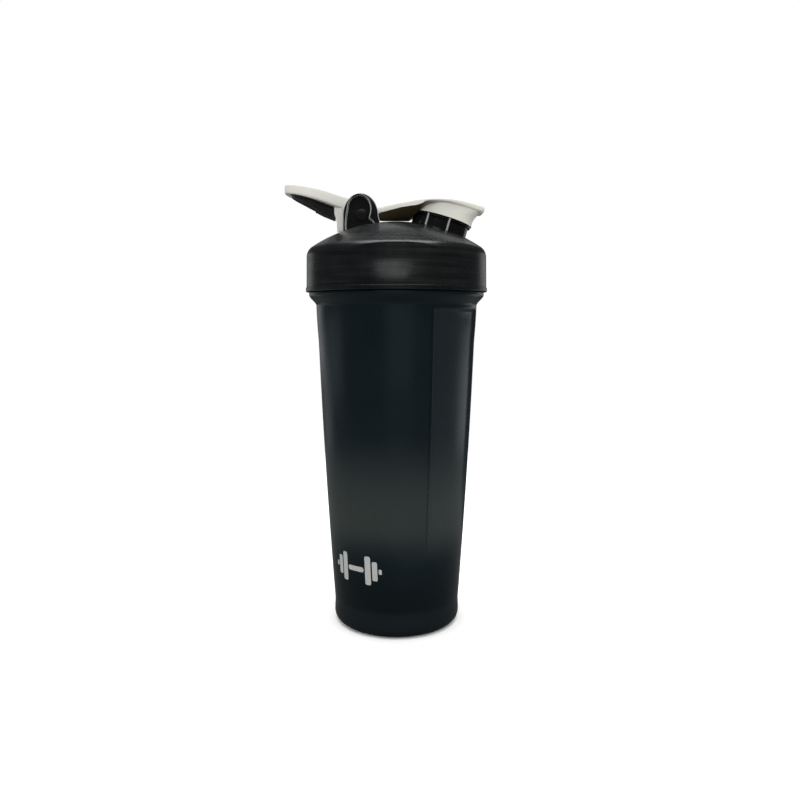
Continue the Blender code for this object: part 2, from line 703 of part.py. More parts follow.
def make_flip_cap(material):
    cap = add_object("flip_cap", lofted(cap_sections()), material, PIVOT)
    around_ring = spout_rod(SKIRT_RADIUS - 0.1 * MM, SPOUT_ROOT, SKIRT_BOTTOM + 0.2 * MM)
    combine(cap, "DIFFERENCE", helper("flip_cap_ring_clearance", around_ring))
    combine(cap, "UNION", helper("flip_cap_skirt", lofted(skirt_rings())))
    hub = rod_profile(HUB_RADIUS, -ARM_HALF_WIDTH, ARM_HALF_WIDTH)
    combine(cap, "UNION", helper("flip_cap_hub", along_y(hub, PIN_STEPS)))
    cavity = spout_rod(SKIRT_INSIDE, SKIRT_BOTTOM - 3 * MM, CAP_CEILING)
    combine(cap, "DIFFERENCE", helper("flip_cap_cavity", cavity))
    hole = rod_profile(PIN_RADIUS + PIN_PLAY, -LEG_OUTSIDE, LEG_OUTSIDE)
    combine(cap, "DIFFERENCE", helper("flip_cap_pin_hole", along_y(hole, PIN_STEPS)))


def make_spout_plug(material):
    """The seal under the flip cap: a flange on the spout's rim and a short tapered ring in its bore."""
    top = CAP_CEILING - TOUCH_GAP
    flange = top - PLUG_FLANGE
    tip = SPOUT_RIM - PLUG_DEPTH
    profile = [(0, flange), (PLUG_RADIUS - PLUG_WALL, flange), (PLUG_TIP_RADIUS - PLUG_WALL, tip)]
    profile += [(PLUG_TIP_RADIUS, tip), (PLUG_RADIUS, SPOUT_RIM - 0.4 * MM), (PLUG_RADIUS, flange)]
    profile += [(PLUG_FLANGE_RADIUS, flange), (PLUG_FLANGE_RADIUS, top), (0, top)]
    add_object("spout_plug", on_spout(turned(profile, even_angles(SPOUT_STEPS))), material, PIVOT)


# Carry loop


def loop_top(x):
    """The band rises towards its tip, and its underside rises a little faster, so it narrows."""
    return BAND_TOP + BAND_TOP_SLOPE * (LEG_X - x)


def loop_bottom(x):
    return BAND_BOTTOM + BAND_BOTTOM_SLOPE * (LEG_X - x)


def grip_top(x):
    return loop_top(x) - GRIP_BELOW_TOP


def grip_bottom(x):
    """The lining hangs further below the band towards the hinge."""
    share = (x - LOOP_TIP_X) / (GRIP_END_X - LOOP_TIP_X)
    return loop_bottom(x) - GRIP_BELOW_BOTTOM - GRIP_HANG * max(share, 0) ** 1.6


def loop_path(start_x):
    """The middle of the band in plan, from the front leg round the tip to the back leg."""
    round_x = LOOP_TIP_X + LOOP_HALF_SECTION + LOOP_ROUND_LENGTH
    leg_middle = (LEG_INSIDE + LEG_OUTSIDE) / 2
    leg = []
    for x in between(start_x, round_x, 12)[:-1]:
        spread = smooth_step(-x, 26 * MM, 43 * MM)
        leg.append((x, leg_middle + (LOOP_HALF_WIDTH - leg_middle) * spread))
    front = [(x, -y) for x, y in leg]
    tip = []
    for degrees in between(0, 180, 15):
        angle = math.radians(degrees)
        tip.append((round_x - LOOP_ROUND_LENGTH * math.sin(angle), -LOOP_HALF_WIDTH * math.cos(angle)))
    return front + tip + list(reversed(leg))


def inward(path, index):
    """The direction in plan from a point of the loop's path to the inside of the loop."""
    before = Vector(path[max(index - 1, 0)])
    after = Vector(path[min(index + 1, len(path) - 1)])
    along = (after - before).normalized()
    return Vector((along.y, -along.x))


def swept_band(path, inset, half_section, low, high, power):
    """A band of rounded section beside a plan path, between two heights that depend on x."""
    rings = []
    for index, (x, y) in enumerate(path):
        across = inward(path, index)
        middle = (low(x) + high(x)) / 2
        half_height = (high(x) - low(x)) / 2
        ring = []
        for angle in even_angles(12):
            out, up = superellipse(angle, power)
            out = inset + half_section * out
            ring.append((x + across.x * out, y + across.y * out, middle + half_height * up))
        rings.append(ring)
    return lofted(rings)


def leg_outline():
    """One leg seen from the front: from the band, over the hinge, and down to the heel on the dome."""
    root = LID_HEIGHT - EAR_ROOT
    heel_front = HEEL_X + HEEL_WIDTH
    hub_reach = HUB_RADIUS - 0.3 * MM
    outline = [(LEG_BACK_X, loop_bottom(LEG_BACK_X) + 1 * MM), (LEG_BACK_X, PIVOT.z + 1 * MM)]
    outline += [(LEG_BACK_X + 0.6 * MM, PIVOT.z - 1 * MM), (HEEL_X - 0.3 * MM, PIVOT.z - 3.5 * MM)]
    outline += [(HEEL_X, root), (heel_front, root), (heel_front + 0.6 * MM, PIVOT.z - 6.4 * MM)]
    outline += [(PIVOT.x - 2.5 * MM, PIVOT.z - 4 * MM), (PIVOT.x, PIVOT.z - hub_reach)]
    outline += [(PIVOT.x, PIVOT.z + hub_reach), (PIVOT.x - 4.5 * MM, PIVOT.z + 7 * MM)]
    outline.append((LEG_X - 1 * MM, PIVOT.z + 7.5 * MM))
    return outline


def make_carry_loop(material):
    band = swept_band(loop_path(-23 * MM), 0, LOOP_HALF_SECTION, loop_bottom, loop_top, 0.4)
    loop = add_object("carry_loop", band, material, PIVOT)
    clear_dome = dome_ball(DOME_RADIUS + 0.4 * MM, "loop_dome_clearance")
    for side, word in ((-1, "front"), (1, "back")):
        inner = side * LEG_INSIDE
        outer = side * LEG_OUTSIDE
        leg = helper(f"loop_leg_{word}", slab(leg_outline(), inner, outer))
        combine(leg, "DIFFERENCE", clear_dome)
        combine(loop, "UNION", leg)
        hub = rod_profile(HUB_RADIUS, min(-inner, -outer), max(-inner, -outer))
        combine(loop, "UNION", helper(f"loop_hub_{word}", along_y(hub, PIN_STEPS)))
    hole = rod_profile(PIN_RADIUS + PIN_PLAY, -LEG_OUTSIDE - 1 * MM, LEG_OUTSIDE + 1 * MM)
    combine(loop, "DIFFERENCE", helper("loop_pin_hole", along_y(hole, PIN_STEPS)))


def make_loop_grip(material):
    """The soft lining on the inside of the loop, which hangs lower towards the legs."""
    inset = LOOP_HALF_SECTION + TOUCH_GAP + GRIP_WIDTH / 2
    grip = swept_band(loop_path(GRIP_END_X), inset, GRIP_WIDTH / 2, grip_bottom, grip_top, 0.5)
    add_object("loop_grip", grip, material, PIVOT)


# Whisk ball


def make_whisk_ball(material):
    """One stainless wire wound into a ball, from pole to pole."""
    centre = Vector((0, 0, BASE_RECESS + FLOOR_THICKNESS + TOUCH_GAP + WHISK_RADIUS + WIRE_RADIUS))
    steps = WHISK_TURNS * 16
    pole = math.radians(WHISK_POLE_ANGLE)
    path = []
    for share in between(0, 1, steps):
        tilt = pole + (math.pi - 2 * pole) * share
        turn = math.tau * WHISK_TURNS * share
        flat = math.sin(tilt)
        path.append(WHISK_RADIUS * Vector((flat * math.cos(turn), flat * math.sin(turn), math.cos(tilt))))
    rings = []
    for index, point in enumerate(path):
        along = path[min(index + 1, steps)] - path[max(index - 1, 0)]
        out = point.normalized()
        side = along.cross(out).normalized()
        ring = []
        for angle in even_angles(5):
            ring.append(centre + point + WIRE_RADIUS * (out * math.cos(angle) + side * math.sin(angle)))
        rings.append(ring)
    add_object("whisk_ball", lofted(rings), material, centre)


def main():
    for obj in list(bpy.data.objects):
        bpy.data.objects.remove(obj)
    smoke = plastic("smoke_plastic", (0.018, 0.024, 0.026), 0.32)
    lid_black = plastic("lid_black_plastic", (0.02, 0.024, 0.026), 0.38)
    white = plastic("off_white_plastic", (0.83, 0.82, 0.77), 0.4)
    gloss_black = plastic("gloss_black_plastic", (0.008, 0.008, 0.008), 0.15)
    rubber = plastic("black_silicone", (0.02, 0.02, 0.02), 0.6)
    make_cup(smoke)
    make_lid(lid_black)
    make_gasket(rubber)
    make_pin(gloss_black)
    make_flip_cap(white)
    make_spout_plug(rubber)
    make_carry_loop(white)
    make_loop_grip(rubber)
    make_whisk_ball(steel("stainless_wire"))


main()
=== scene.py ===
import math

import bmesh
import bpy
from mathutils import Matrix, Vector


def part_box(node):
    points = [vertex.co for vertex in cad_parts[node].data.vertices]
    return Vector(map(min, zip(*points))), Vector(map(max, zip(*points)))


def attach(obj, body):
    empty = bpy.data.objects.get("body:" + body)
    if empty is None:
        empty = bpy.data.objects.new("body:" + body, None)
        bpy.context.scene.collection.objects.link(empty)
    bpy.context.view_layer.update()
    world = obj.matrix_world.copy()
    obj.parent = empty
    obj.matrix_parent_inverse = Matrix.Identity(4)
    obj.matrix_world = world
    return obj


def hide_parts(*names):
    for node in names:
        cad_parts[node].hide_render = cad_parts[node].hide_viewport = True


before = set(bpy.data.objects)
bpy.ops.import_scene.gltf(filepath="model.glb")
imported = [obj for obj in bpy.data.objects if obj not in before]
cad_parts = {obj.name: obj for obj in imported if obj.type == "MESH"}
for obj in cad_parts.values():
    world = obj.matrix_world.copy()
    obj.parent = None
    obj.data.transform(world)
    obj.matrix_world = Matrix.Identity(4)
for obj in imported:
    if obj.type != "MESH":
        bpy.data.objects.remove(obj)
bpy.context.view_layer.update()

MM = 0.001

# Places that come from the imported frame
CUP_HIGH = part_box("cup")[1]
LID_LOW, LID_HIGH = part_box("lid")
PIN_LOW, PIN_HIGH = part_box("hinge_pin")
BALL_LOW, BALL_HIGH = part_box("whisk_ball")
GASKET_LOW, GASKET_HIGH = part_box("lid_gasket")
PIVOT = (PIN_LOW + PIN_HIGH) / 2

# The camera: level with the upper third of the bottle, tipped a little down
CAMERA_PLACE = (1.85 * MM, -392 * MM, 161.6 * MM)
CAMERA_TIP = 6.33
CAMERA_LENS = 33.39
CAMERA_SENSOR = 36.0


# Shape of the cup, as in the CAD part

FOOT_RADIUS = 33.5 * MM
FOOT_HEIGHT = 8.4 * MM
FOOT_CORNER = 4.6 * MM
FOOT_SLOPE = 5.0 * MM
BASE_RECESS = 0.8 * MM
BASE_RECESS_RADIUS = 27.0 * MM
WALL_BOTTOM_RADIUS = 33.1 * MM
WALL_TOP_RADIUS = 40.9 * MM
WALL_TOP = 155.3 * MM
WALL_CROWN = 0.36
WALL_THICKNESS = 1.9 * MM
FLOOR_THICKNESS = 2.4 * MM
FLOOR_CORNER = 5.0 * MM
FLARE_RADIUS = 41.7 * MM
COLLAR_BOTTOM = 167.6 * MM
COLLAR_FULL = 173.3 * MM
COLLAR_TOP = 174.3 * MM
COLLAR_RADIUS = 45.4 * MM
NECK_RADIUS = 41.5 * MM
NECK_INSIDE = 39.4 * MM
CUP_HEIGHT = CUP_HIGH.z

PANEL_CENTRES = (-39.0, 141.0)
PANEL_HALF_ANGLE = 25.0
PANEL_EDGE_ANGLE = 1.2
PANEL_BOTTOM = 38.0 * MM
PANEL_TOP = 166.5 * MM
PANEL_LEDGE = 2.5 * MM
PANEL_STEP = 1.0 * MM
PANEL_FLATNESS = 0.35
PANEL_BEAD = 0.2 * MM
PANEL_BEAD_ANGLE = 0.6
PANEL_GROOVE = 0.5 * MM

MARK_AZIMUTH = -126.0
MARK_MIDDLE = 35.5 * MM
MARK_THICKNESS = 0.05 * MM
MARK_CORNER = 0.3  # a bar's corner radius, as a share of its shorter side
MARK_HANDLE = (9.6 * MM, 2.6 * MM)
# Each part of a weight: its distance from the middle of the mark, and its width and height
MARK_WEIGHTS = (
    (7.2 * MM, (3.2 * MM, 15.0 * MM)),
    (11.0 * MM, (2.8 * MM, 10.0 * MM)),
    (13.9 * MM, (1.6 * MM, 2.6 * MM)),
)

# Shape of the lid

LID_RADIUS = LID_HIGH.x
LID_BEAD = 0.35 * MM
LID_BEAD_HEIGHT = 2.3 * MM
LID_SHOULDER_RADIUS = 46.4 * MM
LID_SHOULDER_CORNER = 6.0 * MM
LID_BOTTOM = LID_LOW.z
LID_INSIDE = 44.0 * MM
DOME_TOP = 210.5 * MM
DOME_RADIUS = 79.5 * MM
DOME_THICKNESS = 2.2 * MM
RIB_OUTSIDE = 38.6 * MM
RIB_INSIDE = 37.4 * MM
RIB_DEPTH = 0.6 * MM
GASKET_SEAT = 192.4 * MM
SCOOP_HALF_ANGLE = 27.0
SCOOP_DEPTH = 1.6 * MM
SCOOP_BOTTOM = 177.6 * MM
SCOOP_FULL = 190.0 * MM

THREAD_LEAD = 8.0 * MM
THREAD_STARTS = 2
THREAD_ROOT_WIDTH = 1.9 * MM
THREAD_CREST_WIDTH = 0.9 * MM
THREAD_EMBED = 0.4 * MM
CUP_THREAD_CREST = 43.1 * MM
CUP_THREAD_START = 177.0 * MM
CUP_THREAD_TURNS = 1.2
LID_THREAD_CREST = 42.1 * MM
LID_THREAD_TURNS = 0.8

SPOUT_LEAN = 16.0
SPOUT_FOOT = Vector((21.7 * MM, 0, 206.5 * MM))
SPOUT_RADIUS = 14.5 * MM
SPOUT_RING_RADIUS = 15.5 * MM
SPOUT_RING_BOTTOM = 4.2 * MM
SPOUT_RING_TOP = 5.5 * MM
SPOUT_NECK_RADIUS = 13.7 * MM
SPOUT_RIM = 7.6 * MM
SPOUT_BORE = 11.0 * MM
SPOUT_ROOT = -7.0 * MM
SPOUT_RIB_ANGLES = (-118, -76, 76, 118)
SPOUT_RIB_BOTTOM = -1.5 * MM
SPOUT_RIB_SIZE = 0.5 * MM

PIN_RADIUS = 1.75 * MM
PIN_HEAD_RADIUS = 3.0 * MM
PIN_PLAY = 0.15 * MM
EAR_CENTRE_X = -17.9 * MM
EAR_RADIUS = 8.9 * MM
EAR_TOP = 223.5 * MM
EAR_INSIDE = 8.6 * MM
EAR_OUTSIDE = 12.6 * MM
EAR_RISE = 11.0 * MM
EAR_ROOT = 9 * MM
EAR_WEB = 1.2 * MM
HOLLOW_CENTRE_X = -18.6 * MM
HOLLOW_RADIUS = 5.8 * MM
HOLLOW_TOP = 222.8 * MM
HOLLOW_RISE = 6.8 * MM
HUB_RADIUS = 4.0 * MM

# Shape of the flip cap, its seal, and the loop

ARM_HALF_WIDTH = 4.5 * MM
ARM_END_X = -8.0 * MM
ARM_UNDERSIDE = 211.2 * MM
ARM_EDGE = 4.0 * MM
KEEL_POWER = 1.4
CAP_CORNER = 0.6
SKIRT_RADIUS = 16.0 * MM
SKIRT_INSIDE = 14.8 * MM
SKIRT_BOTTOM = SPOUT_RING_TOP + 0.4 * MM
CAP_CEILING = 9.2 * MM
CAP_TIP_X = 45.0 * MM
CAP_TIP_LENGTH = 2 * MM
CAP_CREST_X = 18.0 * MM
CAP_CREST = 221.4 * MM
CAP_FALL_TO_ARM = 2.4 * MM
CAP_FALL_TO_TIP = 2.8 * MM
CAP_UNDERSIDE_X = 20 * MM
CAP_UNDERSIDE = 218.0 * MM
UNDERSIDE_FALL_TO_ARM = 6.6 * MM
UNDERSIDE_FALL_TO_TIP = 3.9 * MM
CAP_HALF_WIDTH = 17.6 * MM
CAP_SHOULDER_WIDTH = 11.4 * MM
CAP_TAB_WIDTH = 7.0 * MM
CAP_WIDEST_X = 24 * MM
CAP_MIDDLE_X = 25.8 * MM
PLATE_REACH = 18.4 * MM
PLATE_HALF_WIDTH = 16.4 * MM

PLUG_FLANGE_RADIUS = 13.9 * MM
PLUG_FLANGE = 1.0 * MM
PLUG_RADIUS = 10.3 * MM
PLUG_TIP_RADIUS = 9.7 * MM
PLUG_WALL = 1.5 * MM
PLUG_DEPTH = 2.2 * MM

LEG_INSIDE = 5.0 * MM
LEG_OUTSIDE = 8.2 * MM
LOOP_HALF_SECTION = 1.6 * MM
LOOP_HALF_WIDTH = 15.0 * MM
LOOP_TIP_X = -57.4 * MM
LOOP_ROUND_LENGTH = 14.0 * MM
LEG_X = -27 * MM
BAND_TOP = 222.9 * MM
BAND_TOP_SLOPE = 0.21
BAND_BOTTOM = 216.2 * MM
BAND_BOTTOM_SLOPE = 0.285
LEG_BACK_X = -31.4 * MM
HEEL_X = -29.9 * MM
HEEL_WIDTH = 3.7 * MM
GRIP_WIDTH = 2.0 * MM
GRIP_END_X = -30.9 * MM
GRIP_BELOW_TOP = 1.8 * MM
GRIP_BELOW_BOTTOM = 2.0 * MM
GRIP_HANG = 3.4 * MM
TOUCH_GAP = 0.3 * MM

WIRE_RADIUS = 1.2 * MM
WHISK_TURNS = 13
WHISK_POLE_ANGLE = 9.0

# Colours of the cup's plastic and of its painted shade and painted light, from the painted shade low down
# to the painted light on the panels
CUP_PAINTED_SHADE = (0.0008, 0.0018, 0.0026)
CUP_DARK = (0.0026, 0.0070, 0.0090)
CUP_LIGHT = (0.0040, 0.0092, 0.0116)
CUP_FOOT_PAINTED_LIGHT = (0.0055, 0.0078, 0.0092)
CUP_PAINTED_LIGHT_BAND = (0.0290, 0.0345, 0.0325)
CUP_PANEL_PAINTED_LIGHT = (0.045, 0.052, 0.056)
CUP_REFLECTION = (0.72, 0.93, 1.0)
CUP_SHEEN = (0.8, 0.95, 1.0)

# Levels between which the cup's zones of painted shade and painted light fade, how far these wander, and
# how strong the zones are
ZONE_DRIFT = 5 * MM
PAINTED_SHADE_FADE = (22 * MM, 44 * MM)
LIGHT_BAND_RISE = (36 * MM, 58 * MM)
LIGHT_BAND_FALL = (62 * MM, 104 * MM)
PANEL_LIGHT_RISE = (PANEL_BOTTOM, 60 * MM)
PANEL_LIGHT_FALL = (PANEL_TOP - 1 * MM, PANEL_TOP)
FOOT_LIGHT_FADE = (12.5 * MM, 14.5 * MM)  # round the level of the cup's floor, where the painted light of the foot fades out
PAINTED_SHADE_SHARE = 0.75
PANEL_LIGHT_SHARE = 0.2
FOOT_LIGHT_SHARE = 0.9

# Colours of the other materials, each from a darker to a lighter one
LID_COLOURS = ((0.0010, 0.0026, 0.0034), (0.0020, 0.0040, 0.0050))
GLOSS_COLOURS = ((0.004, 0.004, 0.0045), (0.007, 0.007, 0.007))
EDGE_HIGHLIGHT_COLOURS = ((0.3, 0.305, 0.31), (0.5, 0.505, 0.51))
WHITE_COLOURS = ((0.80, 0.79, 0.72), (0.85, 0.84, 0.785))
OLIVE_SHADE_COLOURS = ((0.075, 0.060, 0.026), (0.105, 0.086, 0.042))
GRIP_COLOURS = ((0.006, 0.006, 0.006), (0.012, 0.012, 0.012))
SILICONE_COLOURS = ((0.012, 0.012, 0.013), (0.02, 0.02, 0.021))
INK_COLOURS = ((0.42, 0.43, 0.42), (0.5, 0.51, 0.5))
WIRE_COLOURS = ((0.52, 0.52, 0.53), (0.66, 0.65, 0.63))
FLOOR_COLOURS = ((0.955, 0.955, 0.95), (0.97, 0.97, 0.965))
LID_STREAK = (0.012, 0.0125, 0.012)

# Where the painted shade under the cap's arm, an olive colour, fades out, by how far the surface faces up
# and how far along it is
SHADE_FACING = (-0.35, -0.05)
SHADE_ALONG = (12 * MM, 24 * MM)

# The middle part of a noise's values, which is spread over the whole range that a material asks for
NOISE_MIDDLE = (0.3, 0.7)

# Detail of the moulded plastics: features per metre, depths, and changes of roughness
DRIFT_SCALE = 22
SMUDGE_SCALE = 45
WAVE_SCALE = 60
RUB_SCALE = 160
SCRATCH_SCALE = 260
HAIR_SCALE = 420
GRAIN_SCALE = 900
GRAIN_DEPTH = 0.012 * MM
WAVE_DEPTH = 0.05 * MM
SCRATCH_ROUGHNESS = 0.1
SMUDGE_BELOW = 0.04
SMUDGE_ABOVE = 0.06
EDGE_WEAR_AND_HIGHLIGHT_WHITER = 0.12
PLASTIC_IOR = 1.49
GLOSS_IOR = 1.5

# Light
AMBIENT = 1.12
AMBIENT_BELOW = 0.15
HORIZON = (-0.1, 0.05)  # how far up a direction points where the light from round about fades in
BACKDROP = 1.0
ROOM_REFLECTION = 0.06
FLOOR_RADIUS = 0.5
FLOOR_BOUNCE = 0.3
FLOOR_REFLECTION = 0.09
LIGHTS_AIM = Vector((0, 0, 0.13))

# Each softbox: its name, its azimuth and elevation in degrees, its distance, its size and its radiance
SOFTBOXES = (
    ("overhead", (0, 90), 1.0, (0.9, 0.7), 4.0),
    ("front", (-94, 28), 1.6, (0.9, 0.4), 2.1),
    ("front_low", (-84, -4), 0.7, (0.45, 0.12), 0.35),
    ("right", (34, -9), 0.45, (0.22, 0.11), 0.5),
    ("left", (146, -9), 0.45, (0.22, 0.11), 0.28),
    ("left_front", (176, -4), 0.45, (0.2, 0.08), 0.35),
    ("back_right", (52, 4), 1.3, (0.6, 0.4), 0.45),
    ("back_left", (128, 4), 1.3, (0.6, 0.4), 0.45),
    ("back_high", (90, 34), 1.5, (1.3, 0.6), 0.5),
)

# Fineness of the visible meshes
ROUND_STEPS = 192
SPOUT_STEPS = 96
PIN_STEPS = 48
SHARP_ANGLE = 32.0
BEVEL_ANGLE = 40.0


# Mesh tools


def smooth_step(value, start, end):
    """0 at start, 1 at end, with no kink at either."""
    share = min(max((value - start) / (end - start), 0), 1)
    return share * share * (3 - 2 * share)


def even_angles(steps):
    return [math.tau * step / steps for step in range(steps)]


def between(start, end, steps):
    """Even values from start to end, both included."""
    return [start + (end - start) * step / steps for step in range(steps + 1)]


def arc(centre_x, centre_z, radius, start, end, steps):
    """Points along a circle from one angle to another, in degrees."""
    points = []
    for degrees in between(start, end, steps):
        angle = math.radians(degrees)
        points.append((centre_x + radius * math.cos(angle), centre_z + radius * math.sin(angle)))
    return points


def turn_from(angle, centre):
    """The unsigned turn in degrees between an angle in radians and a centre in degrees."""
    return abs((math.degrees(angle) - centre + 180) % 360 - 180)


def shade(mesh):
    mesh.shade_smooth()
    mesh.set_sharp_from_angle(angle=math.radians(SHARP_ANGLE))


def place_in_scene(name, data):
    """A new object that shows this mesh, light or camera."""
    obj = bpy.data.objects.new(name, data)
    bpy.context.scene.collection.objects.link(obj)
    return obj


def add_object(name, bm, material):
    bmesh.ops.recalc_face_normals(bm, faces=bm.faces)
    mesh = bpy.data.meshes.new(name)
    bm.to_mesh(mesh)
    bm.free()
    if material:
        mesh.materials.append(material)
    return place_in_scene(name, mesh)


def combine(obj, operation, other):
    """A Boolean that keeps each solid's own material."""
    modifier = obj.modifiers.new(other.name, "BOOLEAN")
    modifier.operation = operation
    modifier.object = other
    modifier.solver = "EXACT"
    modifier.material_mode = "TRANSFER"


def round_edges(obj, width, segments=3, material=None):
    """Rounds the sharp edges, with a material of their own where one is given."""
    modifier = obj.modifiers.new("round_edges", "BEVEL")
    modifier.width = width
    modifier.segments = segments
    modifier.limit_method = "ANGLE"
    modifier.angle_limit = math.radians(BEVEL_ANGLE)
    if material:
        obj.data.materials.append(material)
        modifier.material = len(obj.data.materials) - 1


def settle(obj, *used):
    """Turns the object's modifiers into its mesh, and removes the solids that they used."""
    graph = bpy.context.evaluated_depsgraph_get()
    mesh = bpy.data.meshes.new_from_object(obj.evaluated_get(graph))
    obj.modifiers.clear()
    obj.data = mesh
    for other in used:
        bpy.data.objects.remove(other)
    return obj


def finish_piece(obj, body, slot, *replaced):
    shade(obj.data)
    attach(obj, body)
    if replaced:
        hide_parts(*replaced)
    return obj


def bridge_rings(bm, first, second):
    """Faces between two rings of points, of which one may be a single point."""
    count = max(len(first), len(second))
    if count == 1:
        return
    for index in range(count):
        after = (index + 1) % count
        corners = [first[index % len(first)], first[after % len(first)]]
        corners += [second[after % len(second)], second[index % len(second)]]
        bm.faces.new(list(dict.fromkeys(corners)))


def polar(radius, angle, height=0):
    """A point at a distance and an angle from the Z axis."""
    return (radius * math.cos(angle), radius * math.sin(angle), height)


def turned(profile, angles, reshape=None):
    """Turns a profile of (radius, height) points round Z. One that starts off the axis is a ring."""
    bm = bmesh.new()
    rings = []
    for radius, height in profile:
        if radius == 0:
            rings.append([bm.verts.new((0, 0, height))])
            continue
        ring = []
        for angle in angles:
            out = reshape(angle, radius, height) if reshape else radius
            ring.append(bm.verts.new(polar(out, angle, height)))
        rings.append(ring)
    for first, second in zip(rings, rings[1:]):
        bridge_rings(bm, first, second)
    if len(rings[0]) > 1:
        bridge_rings(bm, rings[-1], rings[0])
    return bm


def lofted(rings, bm=None):
    """A solid through rings of points, closed by a face at each end, in a new or a given bmesh."""
    if bm is None:
        bm = bmesh.new()
    made = [[bm.verts.new(point) for point in ring] for ring in rings]
    for first, second in zip(made, made[1:]):
        bridge_rings(bm, first, second)
    bm.faces.new(made[0])
    bm.faces.new(made[-1])
    return bm


def slab(outline, low_y, high_y):
    """An outline of (x, z) points made solid from one y to another."""
    return lofted([[(x, y, z) for x, z in outline] for y in (low_y, high_y)])


def along_y(profile):
    """A turned profile whose axis is the hinge's."""
    bm = turned(profile, even_angles(PIN_STEPS))
    place = Matrix.Translation(PIVOT) @ Matrix.Rotation(math.pi / 2, 4, "X")
    bmesh.ops.transform(bm, verts=bm.verts, matrix=place)
    return bm


def rod_profile(radius, low, high):
    return [(0, low), (radius, low), (radius, high), (0, high)]


def hinge_rod(name, radius, low, high, material):
    """A round solid on the hinge's axis."""
    return add_object(name, along_y(rod_profile(radius, low, high)), material)


def spout_frame():
    return Matrix.Translation(SPOUT_FOOT) @ Matrix.Rotation(math.radians(SPOUT_LEAN), 4, "Y")


def on_spout(bm):
    bmesh.ops.transform(bm, verts=bm.verts, matrix=spout_frame())
    return bm


def spout_rod(name, radius, low, high, material):
    """A round solid on the spout's axis."""
    bm = turned(rod_profile(radius, low, high), even_angles(SPOUT_STEPS))
    return add_object(name, on_spout(bm), material)


def dome_ball(radius, name):
    bm = bmesh.new()
    bmesh.ops.create_uvsphere(bm, u_segments=96, v_segments=96, radius=radius)
    bmesh.ops.translate(bm, verts=bm.verts, vec=(0, 0, DOME_TOP - DOME_RADIUS))
    return add_object(name, bm, None)


def superellipse(angle, power):
    """A point of a rounded rectangle of half width and half height 1."""
    across = math.copysign(abs(math.cos(angle)) ** power, math.cos(angle))
    up = math.copysign(abs(math.sin(angle)) ** power, math.sin(angle))
    return across, up


# Materials


def map_range(tree, value, low, high, to_low, to_high):
    """Runs from one value to another while its input runs from low to high."""
    node = tree.nodes.new("ShaderNodeMapRange")
    ends = {"From Min": low, "From Max": high, "To Min": to_low, "To Max": to_high}
    for name, end in ends.items():
        node.inputs[name].default_value = end
    tree.links.new(value, node.inputs["Value"])
    return node.outputs["Result"]


